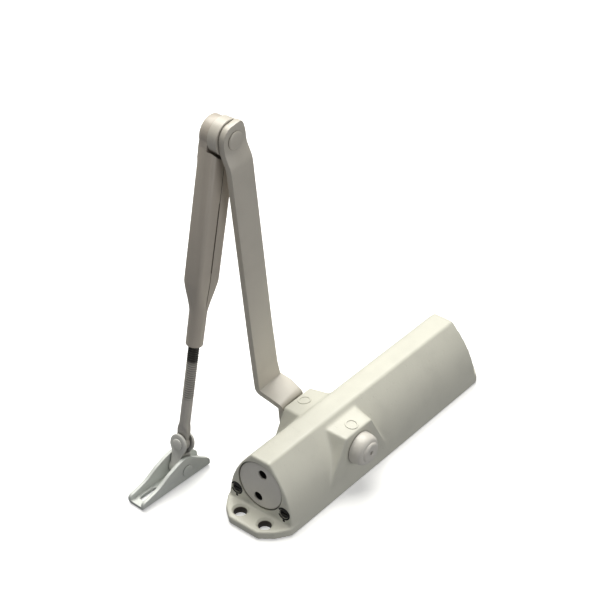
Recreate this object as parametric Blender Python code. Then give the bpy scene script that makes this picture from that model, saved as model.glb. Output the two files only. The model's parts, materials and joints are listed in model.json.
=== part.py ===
"""Surface-mounted rack-and-pinion door closer with a regular two-piece arm.

Metres, +Z up. The closer lies on its mounting face (z = 0), with the origin on that
face straight below the pinion's axis. +X runs along the body to its spring end, -X to
the valve end, and +Y to the arm side. The arm stands up and its shoe rests on z = 0.
"""
import math

import bmesh
import bpy
from mathutils import Vector
from mathutils.geometry import interpolate_bezier

MM = 0.001
GAP = 0.3 * MM
MERGE_DISTANCE = 1e-6

# Cast body
VALVE_END_X = -63.5 * MM
SPRING_END_X = 120.0 * MM
SPRING_END_DRAFT = 5.6 * MM
BODY_HEIGHT = 44.8 * MM
TOP_HALF_WIDTH = 7.0 * MM
BASE_HALF_WIDTH = 24.8 * MM
FOOT_THICKNESS = 5.6 * MM
VALVE_FOOT = (
    (-57.5 * MM, BASE_HALF_WIDTH),
    (-64.3 * MM, BASE_HALF_WIDTH),
    (-72.9 * MM, 18.9 * MM),
    (-79.3 * MM, 10.8 * MM),
)
SPRING_FOOT = (
    (119.6 * MM, BASE_HALF_WIDTH),
    (125.9 * MM, BASE_HALF_WIDTH),
    (131.9 * MM, 18.9 * MM),
    (140.2 * MM, 10.0 * MM),
)
VALVE_FOOT_HOLE_X = -70.5 * MM
SPRING_FOOT_HOLE_X = 131.9 * MM
FOOT_HOLE_HALF_SPACING = 9.5 * MM
FOOT_HOLE_RADIUS = 3.8 * MM
COUNTERSINK_RADIUS = 5.6 * MM
BOSS_FACE_Y = 24.2 * MM
BOSS_FLARE_Z = 5.0 * MM
BOSS_FACE_TOP_Z = 39.8 * MM
BOSS_FACE_HALF_LENGTHS = (31.0 * MM, 12.3 * MM)
BOSS_MIDDLE_TOP_Z = 43.0 * MM
BOSS_MIDDLE_HALF_LENGTHS = (34.0 * MM, 15.5 * MM)

# Cylinder, end plugs and valve screws
BORE_Z = 24.6 * MM
BORE_RADIUS = 15.5 * MM
MOUTH_RADIUS = 16.7 * MM
MOUTH_DEPTH = 7.0 * MM
PLUG_LENGTH = 13.0 * MM
PLUG_RECESS = 0.4 * MM
SPANNER_HOLE_RADIUS = 3.0 * MM
SPANNER_HOLE_OFFSET = 9.4 * MM
SPANNER_HOLE_TILT = math.radians(11.0)
VALVE_Y = 18.2 * MM
VALVE_Z = 13.3 * MM
VALVE_BORE_RADIUS = 3.3 * MM
VALVE_BORE_DEPTH = 17.0 * MM

# Pinion, its bearings and the rack
PINION_Z = 26.5 * MM
MODULE = 1.5 * MM
TEETH = 10
PITCH_RADIUS = MODULE * TEETH / 2.0
PRESSURE_ANGLE = math.radians(20.0)
RACK_ADDENDUM = 0.8 * MM
RACK_DEDENDUM = 1.9 * MM
BACKLASH = 0.5 * MM
GEAR_HALF_WIDTH = 9.0 * MM
JOURNAL_RADIUS = 7.4 * MM
JOURNAL_START_Y = 14.8 * MM
WAIST_RADIUS = 5.4 * MM
NECK_RADIUS = 6.2 * MM
BEARING_RADIUS_ARM = 10.7 * MM
BEARING_RADIUS_CAP = 9.7 * MM
BEARING_INNER_Y = 15.6 * MM
BEARING_LENGTH = 4.4 * MM
HUB_SQUARE = 10.4 * MM

# Piston and return spring
PISTON_RADIUS = BORE_RADIUS - GAP
PISTON_NEAR_X = -49.9 * MM
PISTON_FAR_X = 22.6 * MM
WINDOW_NEAR_X = -34.6 * MM
WINDOW_FAR_X = 9.9 * MM
WIRE_RADIUS = 2.3 * MM
COIL_RADIUS = 11.8 * MM
COIL_TURNS = 8
SPRING_SEAT_THICKNESS = 2.0 * MM

# Arms: both are set by the pinion, the elbow and the shoe's pin
PLATE = 4.0 * MM
ARM_LEAN = math.radians(6.3)
MAIN_ARM_LENGTH = 195.0 * MM
FOREARM_LENGTH = 216.77 * MM
HUB_FACE_Y = 26.5 * MM
HUB_HALF_WIDTH = 9.6 * MM
HUB_BOTTOM = -13.0 * MM
ELBOW_FACE_Y = 50.5 * MM
FOREARM_Y = 62.0 * MM
SHOE_PIN_Z = 8.3 * MM
ELBOW_RIVET_RADIUS = 4.0 * MM
ELBOW_RIVET_HEAD_RADIUS = 5.6 * MM
BUSH_RADIUS = 11.0 * MM
BUSH_CLEARANCE_RADIUS = 12.3 * MM
CHEEK_FACE_Y = 62.0 * MM
CHEEK_RADIUS = 10.0 * MM

# Forearm sleeve, adjusting rod and yoke, measured down from the elbow
SLEEVE_TOP_HALF_WIDTH = 9.6 * MM
SLEEVE_HALF_WIDTH = 9.25 * MM
SLEEVE_HALF_DEPTH = 6.25 * MM
SLEEVE_FRONT_CORNER = 2.6 * MM
SLEEVE_BACK_CORNER = 1.0 * MM
SLEEVE_TOP = 7.5 * MM
SLEEVE_WALL = 2.2 * MM
TAPER_START = 92.0 * MM
TAPER_END = 108.0 * MM
FERRULE_END = 132.8 * MM
FERRULE_RADIUS = 5.2 * MM
ROD_RADIUS = 3.5 * MM
ROD_TOP = 99.0 * MM
YOKE_RIVET_RISE = 17.0 * MM
EYE_HALF_THICKNESS = 2.0 * MM
EYE_RADIUS = 4.9 * MM
EYE_PLAY = 0.4 * MM
YOKE_HALF_THICKNESS = 4.4 * MM
EAR_RADIUS = 6.3 * MM
BARREL_RADIUS = 5.2 * MM
BARREL_HALF_LENGTH = 4.1 * MM

# Shoe, measured from its pin
SHOE_TURN = math.radians(-2.2)
SHOE_HALF_WIDTH = 6.7 * MM
SHOE_SHEET = 2.3 * MM
SHOE_FRONT = -37.3 * MM
SHOE_REAR = 19.6 * MM
SHOE_PIN_RADIUS = 2.2 * MM
SHOE_PIN_HEAD_RADIUS = 3.8 * MM
SLOT_HALF_WIDTH = 2.6 * MM
SLOT_START = -32.5 * MM
SLOT_END = -18.3 * MM
REAR_HOLE_X = 12.2 * MM

# Places worked out from the sizes above
SPRING_PLUG_FACE_X = SPRING_END_X - PLUG_RECESS - PLUG_LENGTH
PINION_POINT = Vector((0.0, 0.0, PINION_Z))
ELBOW_POINT = PINION_POINT + MAIN_ARM_LENGTH * Vector((-math.sin(ARM_LEAN), 0.0, math.cos(ARM_LEAN)))
FOREARM_LEAN = math.acos((ELBOW_POINT.z - SHOE_PIN_Z) / FOREARM_LENGTH)
FOREARM_DOWN = Vector((-math.sin(FOREARM_LEAN), 0.0, -math.cos(FOREARM_LEAN)))
ROD_LENGTH_TO_RIVET = FOREARM_LENGTH - YOKE_RIVET_RISE
YOKE_POINT = ELBOW_POINT + ROD_LENGTH_TO_RIVET * FOREARM_DOWN + Vector((0.0, FOREARM_Y, 0.0))

# Finishes: colour, roughness, metallic
SILVER_PAINT = ((0.66, 0.66, 0.60), 0.45, 0.25)
ARM_PAINT = ((0.42, 0.40, 0.35), 0.42, 0.35)
CAP_PLASTIC = ((0.62, 0.59, 0.56), 0.50, 0.0)
PLUG_STEEL = ((0.30, 0.28, 0.26), 0.50, 0.6)
BRIGHT_STEEL = ((0.62, 0.62, 0.62), 0.28, 1.0)
SPRING_STEEL = ((0.18, 0.18, 0.20), 0.40, 1.0)
DARK_STEEL = ((0.05, 0.05, 0.045), 0.45, 0.8)
BLACK_SCREW = ((0.02, 0.02, 0.02), 0.50, 0.5)
RUBBER = ((0.02, 0.02, 0.02), 0.80, 0.0)

AXIS_VECTORS = {"X": Vector((1.0, 0.0, 0.0)), "Y": Vector((0.0, 1.0, 0.0)), "Z": Vector((0.0, 0.0, 1.0))}


def on_axis(axis, across, up, along):
    """Place a drawing point and a distance along an axis in space."""
    if axis == "X":
        return Vector((along, across, up))
    if axis == "Y":
        return Vector((across, along, up))
    return Vector((across, up, along))


def closed(shape):
    """Weld a shape's seams and turn its faces outward."""
    bmesh.ops.remove_doubles(shape, verts=shape.verts, dist=MERGE_DISTANCE)
    bmesh.ops.recalc_face_normals(shape, faces=shape.faces)
    return shape


def turned(profile, axis, steps=24):
    """Turn a profile of (radius, distance along the axis) about the axis.

    A profile that starts on the axis ends there too; any other closes on itself.
    """
    shape = bmesh.new()
    verts = [shape.verts.new(on_axis(axis, radius, 0.0, along)) for radius, along in profile]
    edges = [shape.edges.new(pair) for pair in zip(verts, verts[1:])]
    if profile[0][0] > 0.0:
        edges.append(shape.edges.new((verts[-1], verts[0])))
    bmesh.ops.spin(
        shape,
        geom=verts + edges,
        cent=(0.0, 0.0, 0.0),
        axis=AXIS_VECTORS[axis],
        angle=2.0 * math.pi,
        steps=steps,
        use_merge=True,
    )
    return closed(shape)


def cylinder(radius, low, high, axis, steps=24):
    """A plain round bar between two distances along its axis."""
    return turned([(0.0, low), (radius, low), (radius, high), (0.0, high)], axis, steps)


def ring(inner, outer, low, high, axis, steps=24):
    """A plain tube between two distances along its axis."""
    return turned([(inner, low), (outer, low), (outer, high), (inner, high)], axis, steps)


def prism(outline, axis, low, high):
    """Extrude a closed outline along an axis."""
    shape = bmesh.new()
    face = shape.faces.new([shape.verts.new(on_axis(axis, across, up, low)) for across, up in outline])
    extruded = bmesh.ops.extrude_face_region(shape, geom=[face])
    moved = [item for item in extruded["geom"] if isinstance(item, bmesh.types.BMVert)]
    bmesh.ops.translate(shape, verts=moved, vec=on_axis(axis, 0.0, 0.0, high - low))
    return closed(shape)


def box(low, high):
    """A box between two corners."""
    outline = [(low[0], low[1]), (high[0], low[1]), (high[0], high[1]), (low[0], high[1])]
    return prism(outline, "Z", low[2], high[2])


def lofted(sections):
    """Skin a row of sections that have the same number of points, and cap both ends."""
    shape = bmesh.new()
    rings = [[shape.verts.new(point) for point in section] for section in sections]
    for first, second in zip(rings, rings[1:]):
        for index in range(len(first)):
            after = (index + 1) % len(first)
            shape.faces.new((first[index], first[after], second[after], second[index]))
    shape.faces.new(rings[0])
    shape.faces.new(rings[-1])
    return closed(shape)


def arc(radius, start, end, count, centre=(0.0, 0.0)):
    """Points on an arc, with its angles in degrees."""
    points = []
    for index in range(count + 1):
        angle = math.radians(start + (end - start) * index / count)
        points.append((centre[0] + radius * math.cos(angle), centre[1] + radius * math.sin(angle)))
    return points


def rounded_section(half_width, half_depth, front_radius, back_radius, corner_steps=4):
    """Outline of a rectangle with round corners; a circle when all four sizes are equal."""
    points = []
    corners = (
        (1, 1, 0, back_radius),
        (-1, 1, 90, back_radius),
        (-1, -1, 180, front_radius),
        (1, -1, 270, front_radius),
    )
    for side, end, start, radius in corners:
        centre = (side * (half_width - radius), end * (half_depth - radius))
        points.extend(arc(radius, start, start + 90.0, corner_steps, centre))
    return points


def add_material(name, finish):
    """A Principled BSDF material of one finish."""
    colour, roughness, metallic = finish
    material = bpy.data.materials.new(name + "_finish")
    material.use_nodes = True
    shader = material.node_tree.nodes["Principled BSDF"]
    shader.inputs["Base Color"].default_value = (*colour, 1.0)
    shader.inputs["Roughness"].default_value = roughness
    shader.inputs["Metallic"].default_value = metallic
    return material


def add_object(name, shape, parent, location):
    """Put a shape in the scene as an object."""
    mesh = bpy.data.meshes.new(name)
    shape.to_mesh(mesh)
    shape.free()
    item = bpy.data.objects.new(name, mesh)
    bpy.context.scene.collection.objects.link(item)
    item.parent = parent
    item.location = location
    return item


def add_piece(name, shape, finish, parent=None, location=(0.0, 0.0, 0.0)):
    """Put a sub-part in the scene, smooth-shaded and with its own material."""
    item = add_object(name, shape, parent, location)
    item.data.materials.append(add_material(name, finish))
    item.data.shade_smooth()
    item.data.set_sharp_from_angle(angle=math.radians(35.0))
    return item


def combine(target, label, shape, operation="DIFFERENCE"):
    """Cut a shape out of a sub-part, or join it on, in the sub-part's own frame."""
    tool = add_object(target.name + "_" + label, shape, target.parent, target.location)
    tool.hide_render = True
    tool.display_type = "WIRE"
    modifier = target.modifiers.new(label, "BOOLEAN")
    modifier.operation = operation
    modifier.solver = "EXACT"
    modifier.object = tool


def add_frame(name, location, turn_y=0.0, turn_z=0.0, parent=None):
    """An empty that carries the pieces of one moving group."""
    frame = bpy.data.objects.new(name, None)
    bpy.context.scene.collection.objects.link(frame)
    frame.parent = parent
    frame.location = location
    frame.rotation_euler = (0.0, turn_y, turn_z)
    return frame


def body_outline():
    """Half-round cross-section of the casting, as (y, z) points."""
    side = interpolate_bezier(
        Vector((TOP_HALF_WIDTH, BODY_HEIGHT)),
        Vector((13.3 * MM, 36.8 * MM)),
        Vector((23.0 * MM, 27.0 * MM)),
        Vector((24.4 * MM, FOOT_THICKNESS)),
        13,
    )
    right = [(point.x, point.y) for point in side] + [(BASE_HALF_WIDTH, 0.0)]
    left = [(-across, up) for across, up in reversed(right)]
    return right + left


def drafted_body():
    """The half-round body, whose spring end leans out towards the mounting face."""
    outline = body_outline()
    valve_end = [Vector((VALVE_END_X, across, up)) for across, up in outline]
    spring_end = []
    for across, up in outline:
        lean_out = SPRING_END_DRAFT * (1.0 - up / BODY_HEIGHT)
        spring_end.append(Vector((SPRING_END_X + lean_out, across, up)))
    return lofted([valve_end, spring_end])


def foot_plate(corners):
    """A mounting foot that tapers away from one end of the body."""
    outline = list(corners) + [(along, -across) for along, across in reversed(corners)]
    return prism(outline, "Z", 0.0, FOOT_THICKNESS)


def boss_section(across, half_lengths, top_z):
    """Outline of the pinion bosses at one distance across the body."""
    base_half, top_half = half_lengths
    return [
        Vector((-base_half, across, BOSS_FLARE_Z)),
        Vector((base_half, across, BOSS_FLARE_Z)),
        Vector((top_half, across, top_z)),
        Vector((-top_half, across, top_z)),
    ]


def pinion_bosses():
    """Both pinion bosses as one block through the body, growing towards the middle."""
    return lofted([
        boss_section(-BOSS_FACE_Y, BOSS_FACE_HALF_LENGTHS, BOSS_FACE_TOP_Z),
        boss_section(0.0, BOSS_MIDDLE_HALF_LENGTHS, BOSS_MIDDLE_TOP_Z),
        boss_section(BOSS_FACE_Y, BOSS_FACE_HALF_LENGTHS, BOSS_FACE_TOP_Z),
    ])


def foot_hole():
    """A countersunk screw hole through a foot, as the shape to cut."""
    over = 2.0 * MM
    sink = COUNTERSINK_RADIUS - FOOT_HOLE_RADIUS
    profile = [
        (0.0, -over),
        (FOOT_HOLE_RADIUS, -over),
        (FOOT_HOLE_RADIUS, FOOT_THICKNESS - sink),
        (COUNTERSINK_RADIUS + over, FOOT_THICKNESS + over),
        (0.0, FOOT_THICKNESS + over),
    ]
    return turned(profile, "Z", 24)


def shifted(shape, offset):
    """Move a shape before it is used."""
    bmesh.ops.translate(shape, verts=shape.verts, vec=offset)
    return shape


def make_body():
    """The one-piece casting: cylinder, two pinion bosses and two mounting feet."""
    body = add_piece("closer_body", drafted_body(), SILVER_PAINT)
    combine(body, "valve_foot", foot_plate(VALVE_FOOT), "UNION")
    combine(body, "spring_foot", foot_plate(SPRING_FOOT), "UNION")
    combine(body, "bosses", pinion_bosses(), "UNION")
    cut_cylinder(body)
    cut_pinion_bore(body)
    cut_valve_bores(body)
    for hole_x, label in ((VALVE_FOOT_HOLE_X, "valve"), (SPRING_FOOT_HOLE_X, "spring")):
        for side, side_label in ((-1.0, "a"), (1.0, "b")):
            centre = Vector((hole_x, side * FOOT_HOLE_HALF_SPACING, 0.0))
            combine(body, label + "_screw_hole_" + side_label, shifted(foot_hole(), centre))
    return body


def cut_cylinder(body):
    """Bore the piston's cylinder from end to end, wider at both mouths."""
    over = 1.0 * MM
    profile = [
        (0.0, VALVE_END_X - over),
        (MOUTH_RADIUS, VALVE_END_X - over),
        (MOUTH_RADIUS, VALVE_END_X + MOUTH_DEPTH),
        (BORE_RADIUS, VALVE_END_X + MOUTH_DEPTH),
        (BORE_RADIUS, SPRING_END_X - MOUTH_DEPTH),
        (MOUTH_RADIUS, SPRING_END_X - MOUTH_DEPTH),
        (MOUTH_RADIUS, SPRING_END_X + SPRING_END_DRAFT + over),
        (0.0, SPRING_END_X + SPRING_END_DRAFT + over),
    ]
    combine(body, "cylinder", shifted(turned(profile, "X", 40), Vector((0.0, 0.0, BORE_Z))))


def cut_pinion_bore(body):
    """Bore the pinion's seat: wide from the arm side, with a shoulder at the cap side."""
    over = 1.0 * MM
    shoulder_y = -(BEARING_INNER_Y + BEARING_LENGTH + GAP)
    profile = [
        (0.0, -BOSS_FACE_Y - over),
        (8.3 * MM, -BOSS_FACE_Y - over),
        (8.3 * MM, shoulder_y),
        (BEARING_RADIUS_CAP + GAP, shoulder_y),
        (BEARING_RADIUS_CAP + GAP, 0.0),
        (BEARING_RADIUS_ARM + GAP, 0.0),
        (BEARING_RADIUS_ARM + GAP, BOSS_FACE_Y + over),
        (0.0, BOSS_FACE_Y + over),
    ]
    combine(body, "pinion_bore", shifted(turned(profile, "Y", 40), PINION_POINT))


def cut_valve_bores(body):
    """Bore both regulating valves and the oil passages that join them to the cylinder."""
    over = 1.0 * MM
    passage_x = VALVE_END_X + VALVE_BORE_DEPTH - 2.5 * MM
    for side, label in ((1.0, "sweep"), (-1.0, "latch")):
        bore = cylinder(VALVE_BORE_RADIUS, VALVE_END_X - over, VALVE_END_X + VALVE_BORE_DEPTH, "X", 20)
        combine(body, label + "_bore", shifted(bore, Vector((0.0, side * VALVE_Y, VALVE_Z))))
        passage = cylinder(1.3 * MM, -VALVE_Y, 0.0, "Y", 12)
        offset_y = VALVE_Y if side > 0.0 else 0.0
        combine(body, label + "_passage", shifted(passage, Vector((passage_x, offset_y, VALVE_Z))))


def plug_profile(direction):
    """Section of an end plug: threaded flange, nose and seal groove, from its outer face."""
    flange = MOUTH_RADIUS - GAP
    nose = BORE_RADIUS - GAP
    groove = nose - 1.9 * MM
    chamfer = 0.5 * MM
    steps = [
        (0.0, 0.0),
        (flange - chamfer, 0.0),
        (flange, chamfer),
        (flange, MOUTH_DEPTH - 2.0 * GAP),
        (nose, MOUTH_DEPTH - 2.0 * GAP),
        (nose, 8.6 * MM),
        (groove, 8.6 * MM),
        (groove, 11.0 * MM),
        (nose, 11.0 * MM),
        (nose, PLUG_LENGTH),
        (0.0, PLUG_LENGTH),
    ]
    return [(radius, direction * depth) for radius, depth in steps]


def make_end_plug(label, face_x, direction):
    """An end plug with two spanner holes, and its seal ring."""
    centre = Vector((face_x, 0.0, BORE_Z))
    plug = add_piece("end_plug_" + label, turned(plug_profile(direction), "X", 40), PLUG_STEEL, None, centre)
    hole_depth = 5.0 * MM
    for side, hole in ((-1.0, "a"), (1.0, "b")):
        across = -side * SPANNER_HOLE_OFFSET * math.sin(SPANNER_HOLE_TILT)
        up = side * SPANNER_HOLE_OFFSET * math.cos(SPANNER_HOLE_TILT)
        ends = sorted((-direction * 1.0 * MM, direction * hole_depth))
        cutter = cylinder(SPANNER_HOLE_RADIUS, ends[0], ends[1], "X", 20)
        combine(plug, "spanner_hole_" + hole, shifted(cutter, Vector((0.0, across, up))))
    seal_profile = arc(0.85 * MM, 0.0, 300.0, 5, (BORE_RADIUS - 1.05 * MM, direction * 9.8 * MM))
    add_piece("plug_seal_" + label, turned(seal_profile, "X", 24), RUBBER, None, centre)


def make_valve_screw(label, side):
    """A slotted regulating screw with its seal ring, turning in its bore."""
    centre = Vector((VALVE_END_X, side * VALVE_Y, VALVE_Z))
    radius = VALVE_BORE_RADIUS - GAP
    profile = [
        (0.0, 0.5 * MM),
        (radius, 0.5 * MM),
        (radius, 6.0 * MM),
        (radius - 1.2 * MM, 6.0 * MM),
        (radius - 1.2 * MM, 8.0 * MM),
        (radius, 8.0 * MM),
        (radius, 10.0 * MM),
        (0.8 * MM, 13.4 * MM),
        (0.0, 13.4 * MM),
    ]
    screw = add_piece("valve_screw_" + label, turned(profile, "X", 20), BLACK_SCREW, None, centre)
    slot = box((-1.0 * MM, -4.0 * MM, -0.5 * MM), (1.7 * MM, 4.0 * MM, 0.5 * MM))
    combine(screw, "driver_slot", slot)
    seal_profile = arc(0.45 * MM, 0.0, 300.0, 5, (radius - 0.55 * MM, 7.0 * MM))
    add_piece("valve_seal_" + label, turned(seal_profile, "X", 16), RUBBER, None, centre)


def rack_window():
    """The piston's window with the rack teeth along its floor, as (x, z) points."""
    rack_z = PINION_Z - PITCH_RADIUS
    tip_z = rack_z + RACK_ADDENDUM
    root_z = rack_z - RACK_DEDENDUM
    top_z = PINION_Z + PITCH_RADIUS + MODULE + 0.7 * MM
    pitch = math.pi * MODULE
    slope = math.tan(PRESSURE_ANGLE)
    mouth = pitch / 4.0 + RACK_ADDENDUM * slope
    floor = pitch / 4.0 - RACK_DEDENDUM * slope
    outline = [(WINDOW_FAR_X, top_z), (WINDOW_FAR_X, tip_z)]
    first = math.floor((WINDOW_FAR_X - mouth) / pitch)
    last = math.ceil((WINDOW_NEAR_X + mouth) / pitch)
    for index in range(first, last - 1, -1):
        centre = index * pitch
        outline.append((centre + mouth, tip_z))
        outline.append((centre + floor, root_z))
        outline.append((centre - floor, root_z))
        outline.append((centre - mouth, tip_z))
    return outline + [(WINDOW_NEAR_X, tip_z), (WINDOW_NEAR_X, top_z)]


def make_piston():
    """The piston with its rack, and the check valve in its head."""
    centre = Vector((0.0, 0.0, BORE_Z))
    chamfer = 0.6 * MM
    profile = [
        (0.0, PISTON_NEAR_X),
        (PISTON_RADIUS - chamfer, PISTON_NEAR_X),
        (PISTON_RADIUS, PISTON_NEAR_X + chamfer),
        (PISTON_RADIUS, PISTON_FAR_X - chamfer),
        (PISTON_RADIUS - chamfer, PISTON_FAR_X),
        (0.0, PISTON_FAR_X),
    ]
    piston = add_piece("piston", turned(profile, "X", 40), BRIGHT_STEEL, None, centre)
    reach = 20.0 * MM
    combine(piston, "rack", shifted(prism(rack_window(), "Y", -reach, reach), -centre))
    seat_x = PISTON_NEAR_X + 9.0 * MM
    valve_profile = [
        (0.0, PISTON_NEAR_X - 1.0 * MM),
        (3.1 * MM, PISTON_NEAR_X - 1.0 * MM),
        (3.1 * MM, seat_x),
        (1.5 * MM, seat_x),
        (1.5 * MM, WINDOW_NEAR_X + 1.0 * MM),
        (0.0, WINDOW_NEAR_X + 1.0 * MM),
    ]
    combine(piston, "check_valve_bore", turned(valve_profile, "X", 20))
    ball_radius = 2.4 * MM
    ball = bmesh.new()
    bmesh.ops.create_uvsphere(ball, u_segments=16, v_segments=10, radius=ball_radius)
    ball_centre = centre + Vector((seat_x - ball_radius - 0.4 * MM, 0.0, 0.0))
    add_piece("check_ball", ball, BRIGHT_STEEL, None, ball_centre)
    retainer = ring(1.3 * MM, 2.8 * MM, PISTON_NEAR_X + 0.3 * MM, PISTON_NEAR_X + 3.0 * MM, "X", 16)
    add_piece("check_valve_retainer", retainer, PLUG_STEEL, None, centre)


def coil_mesh(start_x, end_x):
    """A round wire wound into the return spring about the X axis."""
    points_per_turn = 12
    sides = 6
    count = COIL_TURNS * points_per_turn
    wire_ends = WIRE_RADIUS / math.cos(math.pi / sides)
    sections = []
    for index in range(count + 1):
        turn = 2.0 * math.pi * COIL_TURNS * index / count
        along = start_x + wire_ends + (end_x - start_x - 2.0 * wire_ends) * index / count
        outward = Vector((0.0, math.cos(turn), math.sin(turn)))
        section = []
        for side in range(sides):
            angle = 2.0 * math.pi * side / sides
            offset = outward * math.cos(angle) + AXIS_VECTORS["X"] * math.sin(angle)
            section.append(Vector((along, 0.0, 0.0)) + outward * COIL_RADIUS + offset * WIRE_RADIUS)
        sections.append(section)
    return lofted(sections)


def make_return_spring():
    """The return spring between the piston and a loose seat on the spring-end plug."""
    seat_x = SPRING_PLUG_FACE_X - GAP - SPRING_SEAT_THICKNESS
    seat = ring(6.0 * MM, 14.6 * MM, seat_x, SPRING_PLUG_FACE_X - GAP, "X", 24)
    centre = Vector((0.0, 0.0, BORE_Z))
    add_piece("spring_seat", seat, BRIGHT_STEEL, None, centre)
    add_piece("return_spring", coil_mesh(PISTON_FAR_X + GAP, seat_x - GAP), SPRING_STEEL, None, centre)


def gear_outline():
    """Involute pinion teeth as (x, z) points about the pinion's axis, one tooth pointing up."""
    base = PITCH_RADIUS * math.cos(PRESSURE_ANGLE)
    tip = PITCH_RADIUS + MODULE
    root = PITCH_RADIUS - 1.25 * MODULE
    flank_steps = 3
    pitch_unwound = math.sqrt((PITCH_RADIUS / base) ** 2 - 1.0)
    pitch_involute = pitch_unwound - math.atan(pitch_unwound)
    half_tooth = math.pi / (2.0 * TEETH) - BACKLASH / (2.0 * PITCH_RADIUS)
    flank = [(root, half_tooth + pitch_involute)]
    for index in range(flank_steps + 1):
        radius = base + (tip - base) * index / flank_steps
        unwound = math.sqrt((radius / base) ** 2 - 1.0)
        flank.append((radius, half_tooth + pitch_involute - (unwound - math.atan(unwound))))
    outline = []
    for tooth in range(TEETH):
        middle = math.pi / 2.0 + 2.0 * math.pi * tooth / TEETH
        rising = [(radius, middle - angle) for radius, angle in flank]
        falling = [(radius, middle + angle) for radius, angle in reversed(flank)]
        for radius, angle in rising + falling:
            outline.append((radius * math.cos(angle), radius * math.sin(angle)))
    return outline


def square_end(across_flats, low, high):
    """A square bar along Y, in line with the main arm."""
    half = across_flats / 2.0
    corners = []
    for across, up in ((-half, -half), (half, -half), (half, half), (-half, half)):
        turned_across = across * math.cos(ARM_LEAN) - up * math.sin(ARM_LEAN)
        turned_up = across * math.sin(ARM_LEAN) + up * math.cos(ARM_LEAN)
        corners.append((turned_across, turned_up))
    return prism(corners, "Y", low, high)


def make_pinion():
    """The pinion shaft, with a square for the arm and a smaller one under the cap."""
    shoulder_cap = -(BEARING_INNER_Y + BEARING_LENGTH)
    hub_end = HUB_FACE_Y + PLATE - GAP
    neck_end = -BOSS_FACE_Y - 0.6 * MM
    profile = [
        (0.0, neck_end),
        (NECK_RADIUS, neck_end),
        (NECK_RADIUS, shoulder_cap),
        (JOURNAL_RADIUS, shoulder_cap),
        (JOURNAL_RADIUS, -JOURNAL_START_Y),
        (WAIST_RADIUS, -JOURNAL_START_Y),
        (WAIST_RADIUS, JOURNAL_START_Y),
        (JOURNAL_RADIUS, JOURNAL_START_Y),
        (JOURNAL_RADIUS, HUB_FACE_Y - GAP),
        (0.0, HUB_FACE_Y - GAP),
    ]
    pinion = add_piece("pinion_shaft", turned(profile, "Y", 24), BRIGHT_STEEL, None, PINION_POINT)
    overlap = 1.0 * MM
    gear = prism(gear_outline(), "Y", -GEAR_HALF_WIDTH, GEAR_HALF_WIDTH)
    combine(pinion, "gear", gear, "UNION")
    combine(pinion, "arm_square", square_end(HUB_SQUARE, HUB_FACE_Y - overlap, hub_end), "UNION")
    cap_square = square_end(8.6 * MM, neck_end - 5.0 * MM, neck_end + overlap)
    combine(pinion, "cap_square", cap_square, "UNION")
    screw_bore = cylinder(3.9 * MM, hub_end - 13.0 * MM, hub_end + overlap, "Y", 20)
    combine(pinion, "screw_bore", screw_bore)


def make_pinion_bearings():
    """Bearings and seals on both sides, and the ring nut that keeps the pinion in."""
    end_y = BEARING_INNER_Y + BEARING_LENGTH
    bore = JOURNAL_RADIUS + GAP
    arm_bearing = ring(bore, BEARING_RADIUS_ARM, BEARING_INNER_Y, end_y, "Y")
    add_piece("pinion_bearing_arm", arm_bearing, BRIGHT_STEEL, None, PINION_POINT)
    cap_bearing = ring(bore, BEARING_RADIUS_CAP, -end_y, -BEARING_INNER_Y, "Y")
    add_piece("pinion_bearing_cap", cap_bearing, BRIGHT_STEEL, None, PINION_POINT)
    arm_seal = ring(bore, BEARING_RADIUS_ARM, end_y + GAP, end_y + 2.0 * MM, "Y")
    add_piece("pinion_seal_arm", arm_seal, RUBBER, None, PINION_POINT)
    cap_seal = ring(NECK_RADIUS + GAP, 8.0 * MM, -BOSS_FACE_Y + 0.6 * MM, -end_y - 2.0 * GAP, "Y")
    add_piece("pinion_seal_cap", cap_seal, RUBBER, None, PINION_POINT)
    nut = ring(bore, BEARING_RADIUS_ARM, end_y + 2.3 * MM, BOSS_FACE_Y + 1.0 * MM, "Y")
    ring_nut = add_piece("bearing_nut", nut, PLUG_STEEL, None, PINION_POINT)
    notch_depth = 1.3 * MM
    notch_start = BOSS_FACE_Y + 1.0 * MM - notch_depth
    for angle in (45.0, 135.0):
        direction = Vector((math.cos(math.radians(angle)), 0.0, math.sin(math.radians(angle))))
        side = Vector((-direction.z, 0.0, direction.x)) * 1.3 * MM
        reach = direction * 13.0 * MM
        corners = [reach + side, reach - side, -reach - side, -reach + side]
        outline = [(corner.x, corner.z) for corner in corners]
        notch = prism(outline, "Y", notch_start, notch_start + 3.0 * MM)
        combine(ring_nut, "notch_" + str(round(angle)), notch)


def make_spindle_cap():
    """The moulded cap over the unused end of the pinion."""
    base_y = -BOSS_FACE_Y - GAP
    outer = [
        (10.4 * MM, 0.0),
        (10.3 * MM, -2.6 * MM),
        (9.7 * MM, -5.0 * MM),
        (8.5 * MM, -7.2 * MM),
        (6.8 * MM, -8.8 * MM),
        (4.9 * MM, -9.7 * MM),
    ]
    inner = [
        (1.3 * MM, -9.7 * MM),
        (1.3 * MM, -7.0 * MM),
        (6.5 * MM, -7.0 * MM),
        (6.5 * MM, 0.0),
    ]
    profile = [(radius, base_y + along) for radius, along in outer + inner]
    add_piece("spindle_cap", turned(profile, "Y", 32), CAP_PLASTIC, None, PINION_POINT)


def plate_section(point, offset, left, right):
    """Four corners of a bent plate at one point of its centre line."""
    front = point - offset
    back = point + offset
    return [
        Vector((left, front.x, front.y)),
        Vector((right, front.x, front.y)),
        Vector((right, back.x, back.y)),
        Vector((left, back.x, back.y)),
    ]


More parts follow.
